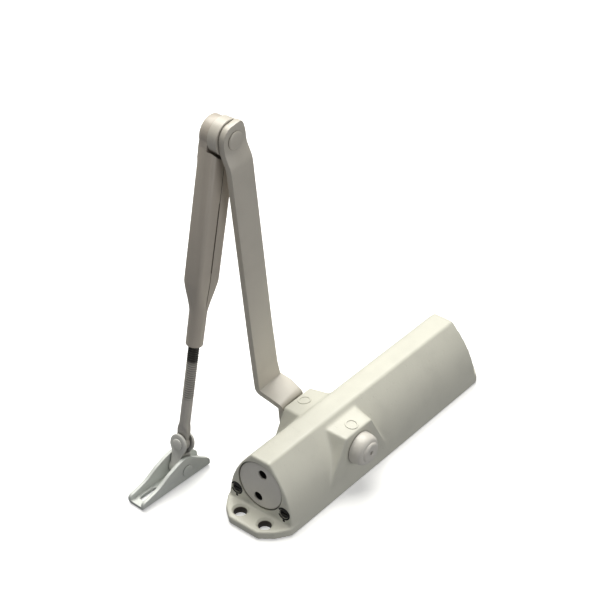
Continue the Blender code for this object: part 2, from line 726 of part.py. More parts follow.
def bent_plate(stations):
    """A plate bent along a line of (y, z, left, right) stations, with mitred corners."""
    points = [Vector((station[0], station[1])) for station in stations]
    sections = []
    for index, (_, _, left, right) in enumerate(stations):
        before = points[max(index - 1, 0)]
        here = points[index]
        after = points[min(index + 1, len(points) - 1)]
        arriving = (here - before).normalized() if index else (after - here).normalized()
        leaving = (after - here).normalized() if index < len(points) - 1 else arriving
        along = (arriving + leaving).normalized()
        normal = Vector((along.y, -along.x))
        mitre = PLATE / 2.0 / along.dot(arriving)
        sections.append(plate_section(here, normal * mitre, left, right))
    return lofted(sections)


def main_arm_stations():
    """Centre line and edges of the main arm, in the arm's own frame."""
    hub_y = HUB_FACE_Y + PLATE / 2.0
    elbow_y = ELBOW_FACE_Y + PLATE / 2.0
    half = 9.2 * MM
    hub_depth = 9.0 * MM
    stations = []
    for angle in (10.0, 25.0, 40.0, 55.0, 70.0, 90.0):
        across = HUB_HALF_WIDTH * math.sin(math.radians(angle))
        along = HUB_BOTTOM + hub_depth * (1.0 - math.cos(math.radians(angle)))
        stations.append((hub_y, along, -across, across))
    stations += [
        (hub_y, 10.4 * MM, -9.4 * MM, HUB_HALF_WIDTH),
        (37.5 * MM, 12.2 * MM, -half, 11.4 * MM),
        (46.9 * MM, 14.0 * MM, -half, 10.9 * MM),
        (47.2 * MM, 26.0 * MM, -half, 9.6 * MM),
        (47.9 * MM, 60.0 * MM, -half, half),
        (49.2 * MM, MAIN_ARM_LENGTH - 15.0 * MM, -half, half),
        (elbow_y, MAIN_ARM_LENGTH - 5.5 * MM, -half, half),
        (elbow_y, MAIN_ARM_LENGTH, -half, half),
        (elbow_y, MAIN_ARM_LENGTH + 3.0 * MM, -9.0 * MM, 9.0 * MM),
        (elbow_y, MAIN_ARM_LENGTH + 5.5 * MM, -8.0 * MM, 8.6 * MM),
        (elbow_y, MAIN_ARM_LENGTH + 7.5 * MM, -6.5 * MM, 8.0 * MM),
        (elbow_y, MAIN_ARM_LENGTH + 8.9 * MM, -4.6 * MM, 7.2 * MM),
        (elbow_y, MAIN_ARM_LENGTH + 9.7 * MM, -2.0 * MM, 5.8 * MM),
    ]
    return stations


def make_main_arm():
    """The main arm, squared onto the pinion, with its screw and washer."""
    frame = add_frame("main_arm_frame", PINION_POINT, -ARM_LEAN)
    arm = add_piece("main_arm", bent_plate(main_arm_stations()), ARM_PAINT, frame)
    half = HUB_SQUARE / 2.0 + GAP
    square = [(-half, -half), (half, -half), (half, half), (-half, half)]
    combine(arm, "hub_square", prism(square, "Y", HUB_FACE_Y - 2.0 * MM, HUB_FACE_Y + PLATE + 2.0 * MM))
    hole_ends = (ELBOW_FACE_Y - 3.0 * MM, ELBOW_FACE_Y + PLATE + 3.0 * MM)
    hole = cylinder(ELBOW_RIVET_RADIUS + GAP, hole_ends[0], hole_ends[1], "Y", 24)
    combine(arm, "rivet_hole", shifted(hole, Vector((0.0, 0.0, MAIN_ARM_LENGTH))))
    hub_back = HUB_FACE_Y + PLATE
    washer_back = hub_back + GAP + 1.0 * MM
    washer = ring(4.1 * MM, 7.0 * MM, hub_back + GAP, washer_back, "Y")
    add_piece("arm_washer", washer, BRIGHT_STEEL, frame)
    head_low = washer_back + GAP
    head_high = head_low + 2.2 * MM
    hexagon = arc(6.0 * MM, 0.0, 300.0, 5)
    screw = add_piece("arm_screw", prism(hexagon, "Y", head_low, head_high), BRIGHT_STEEL, frame)
    shank = cylinder(3.6 * MM, hub_back - 11.5 * MM, head_low + 1.0 * MM, "Y", 20)
    combine(screw, "shank", shank, "UNION")


def rivet_profile(shank, head, low, high, low_head, high_head):
    """Section of a rivet along its axis: the shank between two domed heads."""
    return [
        (0.0, low - low_head),
        (head * 0.55, low - low_head),
        (head * 0.9, low - low_head * 0.6),
        (head, low - low_head * 0.15),
        (head, low),
        (shank, low),
        (shank, high),
        (head, high),
        (head, high + high_head * 0.15),
        (head * 0.9, high + high_head * 0.6),
        (head * 0.55, high + high_head),
        (0.0, high + high_head),
    ]


def forearm_section(below, half_width, half_depth, front_radius, back_radius):
    """One cross-section of the sleeve or the rod, at a distance below the elbow."""
    outline = rounded_section(half_width, half_depth, front_radius, back_radius)
    return [Vector((across, FOREARM_Y + deep, -below)) for across, deep in outline]


def make_forearm(frame):
    """The elbow rivet and bush, and the folded sleeve that the rod screws into."""
    rivet = rivet_profile(
        ELBOW_RIVET_RADIUS,
        ELBOW_RIVET_HEAD_RADIUS,
        ELBOW_FACE_Y - GAP,
        FOREARM_Y + SLEEVE_HALF_DEPTH + GAP,
        1.3 * MM,
        1.6 * MM,
    )
    add_piece("elbow_rivet", turned(rivet, "Y", 24), ARM_PAINT, frame)
    bush_low = ELBOW_FACE_Y + PLATE + GAP
    bush = ring(ELBOW_RIVET_RADIUS + GAP, BUSH_RADIUS, bush_low, CHEEK_FACE_Y - GAP, "Y", 32)
    add_piece("elbow_bush", bush, ARM_PAINT, frame)
    make_sleeve(frame)


def make_sleeve(frame):
    """Folded sleeve: a cheek at the elbow, a box with a seam, and a round ferrule."""
    front, back = SLEEVE_FRONT_CORNER, SLEEVE_BACK_CORNER
    neck = FERRULE_RADIUS + 0.3 * MM
    ferrule = FERRULE_RADIUS
    sections = [
        forearm_section(SLEEVE_TOP, SLEEVE_TOP_HALF_WIDTH, SLEEVE_HALF_DEPTH, front, back),
        forearm_section(TAPER_START, SLEEVE_HALF_WIDTH, SLEEVE_HALF_DEPTH, front, back),
        forearm_section((TAPER_START + TAPER_END) / 2.0, 7.6 * MM, 6.1 * MM, 4.4 * MM, 3.6 * MM),
        forearm_section(TAPER_END, neck, FERRULE_RADIUS + 0.2 * MM, ferrule, ferrule),
        forearm_section(FERRULE_END, ferrule, ferrule, ferrule, ferrule),
    ]
    sleeve = add_piece("forearm_sleeve", lofted(sections), ARM_PAINT, frame)
    half = SLEEVE_TOP_HALF_WIDTH
    cheek = [(-half + 1.2 * MM, -20.0 * MM), (half - 1.2 * MM, -20.0 * MM)]
    cheek += [(half - 0.2 * MM, -14.0 * MM), (half, -6.0 * MM)]
    cheek += arc(CHEEK_RADIUS, -20.0, 200.0, 16)
    cheek += [(-half, -6.0 * MM), (-half + 0.2 * MM, -14.0 * MM)]
    back_y = FOREARM_Y + SLEEVE_HALF_DEPTH - 0.01 * MM
    combine(sleeve, "cheek", prism(cheek, "Y", CHEEK_FACE_Y, back_y), "UNION")
    cavity_half = SLEEVE_HALF_WIDTH - SLEEVE_WALL
    front_y = FOREARM_Y - SLEEVE_HALF_DEPTH
    cavity = box(
        (-cavity_half, front_y + SLEEVE_WALL, -TAPER_START),
        (cavity_half, CHEEK_FACE_Y, 0.0),
    )
    combine(sleeve, "cavity", cavity)
    clearance = cylinder(BUSH_CLEARANCE_RADIUS, front_y - 3.0 * MM, CHEEK_FACE_Y, "Y", 40)
    combine(sleeve, "bush_clearance", clearance)
    rod_bore = cylinder(ROD_RADIUS + GAP, -FERRULE_END - 1.0 * MM, -60.0 * MM, "Z", 24)
    combine(sleeve, "rod_bore", shifted(rod_bore, Vector((0.0, FOREARM_Y, 0.0))))
    hole = cylinder(ELBOW_RIVET_RADIUS + GAP, CHEEK_FACE_Y - 3.0 * MM, back_y + 3.0 * MM, "Y", 24)
    combine(sleeve, "rivet_hole", hole)
    seam = box(
        (-0.6 * MM, front_y - 2.0 * MM, -84.0 * MM),
        (0.6 * MM, front_y + SLEEVE_WALL + 1.0 * MM, 0.0),
    )
    combine(sleeve, "seam", seam)


def make_rod(frame):
    """The adjusting rod: threaded at its top, with a flattened eye at its foot."""
    rivet_below = ROD_LENGTH_TO_RIVET
    shank = ROD_RADIUS - 0.15 * MM
    sections = []
    for below, half_width, half_depth, radius in (
        (ROD_TOP, ROD_RADIUS - 0.8 * MM, ROD_RADIUS - 0.8 * MM, ROD_RADIUS - 0.8 * MM),
        (ROD_TOP + 0.9 * MM, ROD_RADIUS, ROD_RADIUS, ROD_RADIUS),
        (170.0 * MM, ROD_RADIUS, ROD_RADIUS, ROD_RADIUS),
        (171.0 * MM, shank, shank, shank),
        (rivet_below - 13.5 * MM, shank, shank, shank),
        (rivet_below - 9.5 * MM, EYE_HALF_THICKNESS, 4.0 * MM, 1.2 * MM),
        (rivet_below, EYE_HALF_THICKNESS, EYE_RADIUS, 0.9 * MM),
    ):
        sections.append(forearm_section(below, half_width, half_depth, radius, radius))
    rod = add_piece("adjusting_rod", lofted(sections), ARM_PAINT, frame)
    centre = Vector((0.0, FOREARM_Y, -rivet_below))
    eye = cylinder(EYE_RADIUS - 0.01 * MM, -EYE_HALF_THICKNESS, EYE_HALF_THICKNESS, "X", 28)
    combine(rod, "eye", shifted(eye, centre), "UNION")
    hole = cylinder(2.3 * MM, -6.0 * MM, 6.0 * MM, "X", 20)
    combine(rod, "eye_hole", shifted(hole, centre))
    rivet = rivet_profile(
        2.0 * MM, 3.7 * MM, -YOKE_HALF_THICKNESS - GAP, YOKE_HALF_THICKNESS + GAP, 1.2 * MM, 1.2 * MM
    )
    add_piece("yoke_rivet", shifted(turned(rivet, "X", 20), centre), BRIGHT_STEEL, frame)


def make_yoke(frame):
    """The yoke: two ears round the rod's eye, and a barrel between the shoe's walls."""
    drop = YOKE_RIVET_RISE
    outline = arc(EAR_RADIUS, 0.0, 180.0, 12)
    outline += [(-EAR_RADIUS, -2.0 * MM), (-BARREL_HALF_LENGTH, -6.4 * MM)]
    outline += [(-BARREL_HALF_LENGTH, -drop), (BARREL_HALF_LENGTH, -drop)]
    outline += [(BARREL_HALF_LENGTH, -6.4 * MM), (EAR_RADIUS, -2.0 * MM)]
    yoke = add_piece("yoke", prism(outline, "X", -YOKE_HALF_THICKNESS, YOKE_HALF_THICKNESS), ARM_PAINT, frame)
    gap_half = EYE_HALF_THICKNESS + EYE_PLAY
    gap_floor = -EYE_RADIUS - 1.2 * MM
    combine(yoke, "eye_gap", box((-gap_half, -9.0 * MM, gap_floor), (gap_half, 9.0 * MM, 9.0 * MM)))
    barrel_centre = Vector((0.0, 0.0, -drop))
    barrel = cylinder(BARREL_RADIUS, -BARREL_HALF_LENGTH + 0.01 * MM, BARREL_HALF_LENGTH - 0.01 * MM, "Y", 28)
    combine(yoke, "barrel", shifted(barrel, barrel_centre), "UNION")
    pin_hole = cylinder(SHOE_PIN_RADIUS + GAP, -9.0 * MM, 9.0 * MM, "Y", 20)
    combine(yoke, "pin_hole", shifted(pin_hole, barrel_centre))
    combine(yoke, "rivet_hole", cylinder(2.3 * MM, -9.0 * MM, 9.0 * MM, "X", 20))


def shoe_wall_outline():
    """Side of the shoe as (x, z) points about its pin, with z up from the pin."""
    base = -SHOE_PIN_Z
    profile = [
        (SHOE_FRONT, 5.2 * MM),
        (-28.3 * MM, 7.3 * MM),
        (-24.0 * MM, 8.5 * MM),
        (-19.8 * MM, 10.6 * MM),
        (-15.5 * MM, 13.3 * MM),
        (-11.3 * MM, 15.0 * MM),
        (-7.3 * MM, 16.6 * MM),
        (-2.6 * MM, 17.8 * MM),
        (0.6 * MM, 17.8 * MM),
        (3.4 * MM, 16.6 * MM),
        (7.2 * MM, 14.3 * MM),
        (13.7 * MM, 9.9 * MM),
        (SHOE_REAR, 5.8 * MM),
    ]
    top = [(along, base + height) for along, height in profile]
    return [(SHOE_FRONT, base)] + top + [(SHOE_REAR, base)]


def make_shoe(frame):
    """The channel-shaped shoe with its fixing slot and hole, and the pin across it."""
    block = prism(shoe_wall_outline(), "Y", -SHOE_HALF_WIDTH, SHOE_HALF_WIDTH)
    shoe = add_piece("shoe", block, ARM_PAINT, frame)
    inner = SHOE_HALF_WIDTH - SHOE_SHEET
    floor = SHOE_SHEET - SHOE_PIN_Z
    channel = box((SHOE_FRONT - 5.0 * MM, -inner, floor), (SHOE_REAR + 5.0 * MM, inner, 20.0 * MM))
    combine(shoe, "channel", channel)
    slot = arc(SLOT_HALF_WIDTH, 90.0, 270.0, 8, (SLOT_START + SLOT_HALF_WIDTH, 0.0))
    slot += arc(SLOT_HALF_WIDTH, -90.0, 90.0, 8, (SLOT_END - SLOT_HALF_WIDTH, 0.0))
    under = -SHOE_PIN_Z - 2.0 * MM
    combine(shoe, "slot", prism(slot, "Z", under, floor + 2.0 * MM))
    hole = cylinder(SLOT_HALF_WIDTH, under, floor + 2.0 * MM, "Z", 20)
    combine(shoe, "rear_hole", shifted(hole, Vector((REAR_HOLE_X, 0.0, 0.0))))
    combine(shoe, "pin_hole", cylinder(SHOE_PIN_RADIUS + GAP, -12.0 * MM, 12.0 * MM, "Y", 20))
    reach = SHOE_HALF_WIDTH + GAP
    pin = rivet_profile(SHOE_PIN_RADIUS, SHOE_PIN_HEAD_RADIUS, -reach, reach, 0.9 * MM, 0.9 * MM)
    add_piece("shoe_pin", turned(pin, "Y", 24), BRIGHT_STEEL, frame)


def main():
    """Clear the scene and build the whole closer."""
    for item in list(bpy.data.objects):
        bpy.data.objects.remove(item)
    make_body()
    make_end_plug("valve_end", VALVE_END_X + PLUG_RECESS, 1.0)
    make_end_plug("spring_end", SPRING_END_X - PLUG_RECESS, -1.0)
    make_valve_screw("sweep", 1.0)
    make_valve_screw("latch", -1.0)
    make_piston()
    make_return_spring()
    make_pinion()
    make_pinion_bearings()
    make_spindle_cap()
    make_main_arm()
    forearm_frame = add_frame("forearm_frame", ELBOW_POINT, FOREARM_LEAN)
    make_forearm(forearm_frame)
    make_rod(forearm_frame)
    shoe_turn_frame = add_frame("shoe_turn_frame", YOKE_POINT, 0.0, SHOE_TURN)
    make_yoke(add_frame("yoke_frame", (0.0, 0.0, 0.0), FOREARM_LEAN, 0.0, shoe_turn_frame))
    pin_place = YOKE_RIVET_RISE * FOREARM_DOWN
    make_shoe(add_frame("shoe_frame", pin_place, 0.0, 0.0, shoe_turn_frame))


main()
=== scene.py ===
"""Looks for the door closer: finer visible pieces, procedural finishes, studio and camera.

The visible pieces repeat the driving sizes of the CAD part, in metres, and each one is
built in the frame of the group that it moves with. Hidden CAD pieces only get finishes.
"""

import json
import math

import bmesh
import bpy
from mathutils import Matrix, Vector
from mathutils.geometry import interpolate_bezier

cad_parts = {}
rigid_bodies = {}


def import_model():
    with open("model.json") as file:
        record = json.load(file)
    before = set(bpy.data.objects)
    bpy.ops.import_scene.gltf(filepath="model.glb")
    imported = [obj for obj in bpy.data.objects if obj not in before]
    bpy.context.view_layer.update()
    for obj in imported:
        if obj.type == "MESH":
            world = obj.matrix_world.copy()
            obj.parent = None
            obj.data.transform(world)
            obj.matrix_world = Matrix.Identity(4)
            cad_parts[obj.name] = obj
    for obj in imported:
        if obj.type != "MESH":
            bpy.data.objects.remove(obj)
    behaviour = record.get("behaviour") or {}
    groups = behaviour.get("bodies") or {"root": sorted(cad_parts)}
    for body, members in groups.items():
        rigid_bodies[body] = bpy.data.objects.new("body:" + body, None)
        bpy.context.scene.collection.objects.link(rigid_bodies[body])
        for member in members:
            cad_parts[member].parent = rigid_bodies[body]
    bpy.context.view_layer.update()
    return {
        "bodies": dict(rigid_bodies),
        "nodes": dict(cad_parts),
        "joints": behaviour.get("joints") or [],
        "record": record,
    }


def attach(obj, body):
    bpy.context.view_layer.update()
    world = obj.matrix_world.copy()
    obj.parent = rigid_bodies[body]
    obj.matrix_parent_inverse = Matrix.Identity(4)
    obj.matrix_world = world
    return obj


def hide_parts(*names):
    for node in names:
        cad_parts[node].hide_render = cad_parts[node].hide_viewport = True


MM = 0.001

# Cast body
VALVE_END_X = -63.5 * MM
SPRING_END_X = 120.0 * MM
SPRING_END_DRAFT = 5.6 * MM
BODY_HEIGHT = 44.8 * MM
BASE_HALF_WIDTH = 24.8 * MM
FOOT_THICKNESS = 5.6 * MM
VALVE_FOOT = (
    (-57.5 * MM, BASE_HALF_WIDTH),
    (-64.3 * MM, BASE_HALF_WIDTH),
    (-72.9 * MM, 18.9 * MM),
    (-79.3 * MM, 10.8 * MM),
)
SPRING_FOOT = (
    (119.6 * MM, BASE_HALF_WIDTH),
    (125.9 * MM, BASE_HALF_WIDTH),
    (131.9 * MM, 18.9 * MM),
    (140.2 * MM, 10.0 * MM),
)
VALVE_FOOT_HOLE_X = -70.5 * MM
SPRING_FOOT_HOLE_X = 131.9 * MM
FOOT_HOLE_HALF_SPACING = 9.5 * MM
FOOT_HOLE_RADIUS = 3.8 * MM
BOSS_FACE_Y = 24.2 * MM
BOSS_FLARE_Z = 5.0 * MM
BOSS_FACE_TOP_Z = 39.8 * MM
BOSS_FACE_HALF_LENGTHS = (31.0 * MM, 12.3 * MM)
BOSS_MIDDLE_TOP_Z = 43.0 * MM
BOSS_MIDDLE_HALF_LENGTHS = (34.0 * MM, 15.5 * MM)
BORE_Z = 24.6 * MM
BORE_RADIUS = 15.5 * MM
MOUTH_RADIUS = 16.7 * MM
MOUTH_DEPTH = 7.0 * MM
PINION_Z = 26.5 * MM
VALVE_Y = 18.2 * MM
VALVE_Z = 13.3 * MM
VOXEL = 0.75 * MM
GAP = 0.3 * MM
SPANNER_HOLE_OFFSET = 9.4 * MM
SPANNER_HOLE_TILT = math.radians(11.0)

# Arms
ARM_LEAN = math.radians(6.3)
MAIN_ARM_LENGTH = 195.0 * MM
FOREARM_LENGTH = 216.77 * MM
FOREARM_Y = 62.0 * MM
PLATE = 4.0 * MM
HUB_FACE_Y = 26.5 * MM
HUB_HALF_WIDTH = 9.6 * MM
HUB_BOTTOM = -13.0 * MM
ELBOW_FACE_Y = 50.5 * MM
BUSH_RADIUS = 11.0 * MM
BUSH_CLEARANCE_RADIUS = 13.0 * MM
CHEEK_FACE_Y = 62.0 * MM
ELBOW_HOLE_RADIUS = 4.3 * MM
SLEEVE_HALF_WIDTH = 9.25 * MM
SLEEVE_HALF_DEPTH = 6.25 * MM
SHOE_PIN_Z = 8.3 * MM
SHOE_TURN = math.radians(-2.2)
YOKE_RIVET_RISE = 17.0 * MM
RIVET_BELOW = FOREARM_LENGTH - YOKE_RIVET_RISE
YOKE_HOLE_RADIUS = 2.3 * MM
SHOE_PIN_HOLE_RADIUS = 2.5 * MM
SHOE_FRONT = -37.3 * MM
SHOE_REAR = 19.6 * MM
SHOE_HOLE_RADIUS = 2.6 * MM
FERRULE_RADIUS = 5.2 * MM
ROD_RADIUS = 3.35 * MM
THREAD_PITCH = 1.5 * MM
THREAD_START = 99.0 * MM
THREAD_END = 170.0 * MM
BARE_THREAD_END = 143.8 * MM

PINION_POINT = Vector((0.0, 0.0, PINION_Z))
ELBOW_POINT = PINION_POINT + MAIN_ARM_LENGTH * Vector((-math.sin(ARM_LEAN), 0.0, math.cos(ARM_LEAN)))
FOREARM_LEAN = math.acos((ELBOW_POINT.z - SHOE_PIN_Z) / FOREARM_LENGTH)
FOREARM_DOWN = Vector((-math.sin(FOREARM_LEAN), 0.0, -math.cos(FOREARM_LEAN)))
YOKE_POINT = ELBOW_POINT + RIVET_BELOW * FOREARM_DOWN + Vector((0.0, FOREARM_Y, 0.0))

BODY_FRAME = Matrix.Identity(4)
PINION_FRAME = Matrix.Translation(PINION_POINT)
ARM_FRAME = PINION_FRAME @ Matrix.Rotation(-ARM_LEAN, 4, "Y")
FOREARM_FRAME = Matrix.Translation(ELBOW_POINT) @ Matrix.Rotation(FOREARM_LEAN, 4, "Y")
SHOE_GROUP = Matrix.Translation(YOKE_POINT) @ Matrix.Rotation(SHOE_TURN, 4, "Z")
YOKE_FRAME = SHOE_GROUP @ Matrix.Rotation(FOREARM_LEAN, 4, "Y")
SHOE_FRAME = SHOE_GROUP @ Matrix.Translation(YOKE_RIVET_RISE * FOREARM_DOWN)

LIGHT_TARGET = Vector((0.02, 0.03, 0.06))

# Camera, with its lens and sensor in millimetres
CAMERA_AZIMUTH = math.radians(-50.55)
CAMERA_ELEVATION = math.radians(35.25)
CAMERA_TARGET = Vector((0.0343, 0.0500, 0.0824))
CAMERA_DISTANCE = 1.0507
CAMERA_LENS = 102.0
SENSOR_WIDTH = 36.0

# Modelling
AXIS_VECTORS = {
    "X": Vector((1.0, 0.0, 0.0)),
    "Y": Vector((0.0, 1.0, 0.0)),
    "Z": Vector((0.0, 0.0, 1.0)),
}
SHARP_ANGLE = math.radians(32.0)
CAST_SHARP_ANGLE = math.radians(38.0)
CORNER_STEPS = 6
BEND_STEPS = 5
ROD_STEPS = 40


# ---------------------------------------------------------------- shapes

def on_axis(axis, across, up, along):
    """Place a drawing point and a distance along an axis in space."""
    if axis == "X":
        return Vector((along, across, up))
    if axis == "Y":
        return Vector((across, along, up))
    return Vector((across, up, along))


def closed(shape):
    """Weld a shape's seams and turn its faces outward."""
    bmesh.ops.remove_doubles(shape, verts=shape.verts, dist=1e-6)
    bmesh.ops.recalc_face_normals(shape, faces=shape.faces)
    return shape


def turned(profile, axis, steps=64):
    """Turn a profile of (radius, distance along the axis) about the axis."""
    shape = bmesh.new()
    verts = [shape.verts.new(on_axis(axis, radius, 0.0, along)) for radius, along in profile]
    edges = [shape.edges.new(pair) for pair in zip(verts, verts[1:])]
    if profile[0][0] > 0.0:
        edges.append(shape.edges.new((verts[-1], verts[0])))
    bmesh.ops.spin(
        shape,
        geom=verts + edges,
        cent=(0.0, 0.0, 0.0),
        axis=AXIS_VECTORS[axis],
        angle=2.0 * math.pi,
        steps=steps,
        use_merge=True,
    )
    return closed(shape)


def cylinder(radius, low, high, axis, steps=48):
    """A plain round bar, used as a cutter."""
    return turned([(0.0, low), (radius, low), (radius, high), (0.0, high)], axis, steps)


def prism(outline, axis, low, high):
    """Extrude a closed outline along an axis."""
    shape = bmesh.new()
    face = shape.faces.new([shape.verts.new(on_axis(axis, across, up, low)) for across, up in outline])
    extruded = bmesh.ops.extrude_face_region(shape, geom=[face])
    moved = [item for item in extruded["geom"] if isinstance(item, bmesh.types.BMVert)]
    bmesh.ops.translate(shape, verts=moved, vec=on_axis(axis, 0.0, 0.0, high - low))
    return closed(shape)


def box(low, high):
    """A box between two corners, used as a cutter."""
    outline = [(low[0], low[1]), (high[0], low[1]), (high[0], high[1]), (low[0], high[1])]
    return prism(outline, "Z", low[2], high[2])


def lofted(sections):
    """Skin a row of sections that have the same number of points, and cap both ends."""
    shape = bmesh.new()
    rings = [[shape.verts.new(point) for point in section] for section in sections]
    for first, second in zip(rings, rings[1:]):
        for index in range(len(first)):
            after = (index + 1) % len(first)
            shape.faces.new((first[index], first[after], second[after], second[index]))
    shape.faces.new(rings[0])
    shape.faces.new(rings[-1])
    return closed(shape)


def shifted(shape, offset):
    """Move a shape before it is used."""
    bmesh.ops.translate(shape, verts=shape.verts, vec=offset)
    return shape


def arc(radius, start, end, count, centre=(0.0, 0.0)):
    """Points on an arc, with its angles in degrees."""
    points = []
    for index in range(count + 1):
        angle = math.radians(start + (end - start) * index / count)
        points.append((centre[0] + radius * math.cos(angle), centre[1] + radius * math.sin(angle)))
    return points


def rounded_section(half_width, half_depth, front_radius, back_radius):
    """Outline of a rectangle with round corners; a circle when all four sizes are equal."""
    points = []
    corners = (
        (1, 1, 0, back_radius),
        (-1, 1, 90, back_radius),
        (-1, -1, 180, front_radius),
        (1, -1, 270, front_radius),
    )
    for side, end, start, radius in corners:
        centre = (side * (half_width - radius), end * (half_depth - radius))
        points.extend(arc(radius, start, start + 90.0, CORNER_STEPS, centre))
    return points


def blended(start, corner, end):
    """Points on the round bend from one place to another that a corner pulls on."""
    points = []
    for step in range(BEND_STEPS + 1):
        t = step / BEND_STEPS
        points.append(start * (1.0 - t) ** 2 + corner * 2.0 * t * (1.0 - t) + end * t ** 2)
    return points


def rounded_outline(points, radius):
    """Round every corner of a closed outline."""
    rounded = []
    count = len(points)
    for index in range(count):
        here = Vector(points[index])
        before = Vector(points[index - 1])
        after = Vector(points[(index + 1) % count])
        reach = min(radius, (before - here).length * 0.45, (after - here).length * 0.45)
        start = here + (before - here).normalized() * reach
        end = here + (after - here).normalized() * reach
        rounded += [(point.x, point.y) for point in blended(start, here, end)]
    return rounded


# ---------------------------------------------------------------- pieces

def add_piece(name, shape, finish, body, frame=BODY_FRAME, replaces=()):
    """Put a visible piece in the scene, riding on a CAD body."""
    mesh = bpy.data.meshes.new(name)
    shape.to_mesh(mesh)
    shape.free()
    item = bpy.data.objects.new(name, mesh)
    bpy.context.scene.collection.objects.link(item)
    item.matrix_world = frame
    mesh.materials.append(finish)
    mesh.shade_smooth()
    mesh.set_sharp_from_angle(angle=SHARP_ANGLE)
    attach(item, body)
    if replaces:
        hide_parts(*replaces)
    return item


def apply_modifiers(item):
    """Turn an object's modifiers into its mesh."""
    graph = bpy.context.evaluated_depsgraph_get()
    mesh = bpy.data.meshes.new_from_object(item.evaluated_get(graph))
    item.modifiers.clear()
    item.data = mesh


def soften(item, width, segments, angle):
    """Round the edges of a piece that are sharper than an angle in degrees."""
    bevel = item.modifiers.new("soften", "BEVEL")
    bevel.width = width
    bevel.segments = segments
    bevel.limit_method = "ANGLE"
    bevel.angle_limit = math.radians(angle)
    apply_modifiers(item)
    item.data.shade_smooth()
    item.data.set_sharp_from_angle(angle=SHARP_ANGLE)


def combine(item, shape, operation="DIFFERENCE"):
    """Cut a shape out of a piece in the piece's own frame, or join it or keep what they share."""
    mesh = bpy.data.meshes.new("tool")
    shape.to_mesh(mesh)
    shape.free()
    tool = bpy.data.objects.new("tool", mesh)
    bpy.context.scene.collection.objects.link(tool)
    tool.matrix_world = item.matrix_world
    bpy.context.view_layer.update()
    modifier = item.modifiers.new("combine", "BOOLEAN")
    modifier.operation = operation
    modifier.solver = "EXACT"
    modifier.object = tool
    apply_modifiers(item)
    bpy.data.objects.remove(tool)
    item.data.set_sharp_from_angle(angle=SHARP_ANGLE)


# ---------------------------------------------------------------- finishes

class Finish:
    """A Principled material built up from procedural layers in object space."""

    def __init__(self, name, colour, roughness, metallic=0.0, coat=0.0):
        self.material = bpy.data.materials.new(name)
        self.material.use_nodes = True
        self.tree = self.material.node_tree
        self.shader = self.tree.nodes["Principled BSDF"]
        self.colour = (*colour, 1.0)
        self.normal = None
        self.place = self.node("ShaderNodeTexCoord").outputs["Object"]
        plain = {
            "Base Color": self.colour,
            "Roughness": roughness,
            "Metallic": metallic,
            "Coat Weight": coat,
            "Coat Roughness": 0.25,
        }
        for socket, value in plain.items():
            self.shader.inputs[socket].default_value = value

    def node(self, kind, **values):
        """Add a node and set its plain properties."""
        item = self.tree.nodes.new(kind)
        for key, value in values.items():
            setattr(item, key, value)
        return item

    def feed(self, target, value):
        """Give a socket a constant or link it to another socket."""
        if isinstance(value, bpy.types.NodeSocket):
            self.tree.links.new(value, target)
        else:
            target.default_value = value

    def noise(self, scale, detail=4.0):
        """Noise between 0 and 1 with a given number of features per metre."""
        noise = self.node("ShaderNodeTexNoise")
        self.feed(noise.inputs["Vector"], self.place)
        noise.inputs["Scale"].default_value = scale
        noise.inputs["Detail"].default_value = detail
        return noise.outputs["Fac"]

    def ranged(self, value, low, high, to_low, to_high):
        """Remap a value from one range to another, with smooth ends."""
        ranged = self.node("ShaderNodeMapRange", interpolation_type="SMOOTHSTEP")
        for index, number in enumerate((value, low, high, to_low, to_high)):
            self.feed(ranged.inputs[index], number)
        return ranged.outputs["Result"]

    def tint(self, factor, colour):
        """Mix a colour over the base colour, by a factor."""
        mix = self.node("ShaderNodeMix", data_type="RGBA")
        self.feed(mix.inputs["Factor"], factor)
        self.feed(mix.inputs[6], self.colour)
        self.feed(mix.inputs[7], (*colour, 1.0))
        self.colour = mix.outputs[2]
        self.feed(self.shader.inputs["Base Color"], self.colour)

    def relief(self, height, depth):
        """Add a bump layer of a real depth in metres."""
        bump = self.node("ShaderNodeBump")
        bump.inputs["Strength"].default_value = 1.0
        bump.inputs["Distance"].default_value = depth
        self.feed(bump.inputs["Height"], height)
        if self.normal:
            self.feed(bump.inputs["Normal"], self.normal)
        self.normal = bump.outputs["Normal"]
        self.feed(self.shader.inputs["Normal"], self.normal)

    def rough(self, value):
        """Drive the roughness."""
        self.feed(self.shader.inputs["Roughness"], value)

    def along(self, axis):
        """Distance along one axis of the object's own frame."""
        split = self.node("ShaderNodeSeparateXYZ")
        self.feed(split.inputs["Vector"], self.place)
        return split.outputs[axis]

    def radius_from(self, centre):
        """Distance from a line along Z through a point, in the object's own frame."""
        offset = self.node("ShaderNodeVectorMath", operation="SUBTRACT")
        self.feed(offset.inputs[0], self.place)
        offset.inputs[1].default_value = centre
        flat = self.node("ShaderNodeVectorMath", operation="MULTIPLY")
        self.feed(flat.inputs[0], offset.outputs["Vector"])
        flat.inputs[1].default_value = (1.0, 1.0, 0.0)
        length = self.node("ShaderNodeVectorMath", operation="LENGTH")
        self.feed(length.inputs[0], flat.outputs["Vector"])
        return length.outputs["Value"]

    def product(self, first, second):
        """Multiply two values."""
        product = self.node("ShaderNodeMath", operation="MULTIPLY")
        self.feed(product.inputs[0], first)
        self.feed(product.inputs[1], second)
        return product.outputs["Value"]

    def crevices(self, distance):
        """How enclosed a place is, from 0 in the open to 1 in a crevice."""
        occlusion = self.node("ShaderNodeAmbientOcclusion", samples=8)
        occlusion.inputs["Distance"].default_value = distance
        return self.ranged(occlusion.outputs["AO"], 0.9, 0.35, 0.0, 1.0)


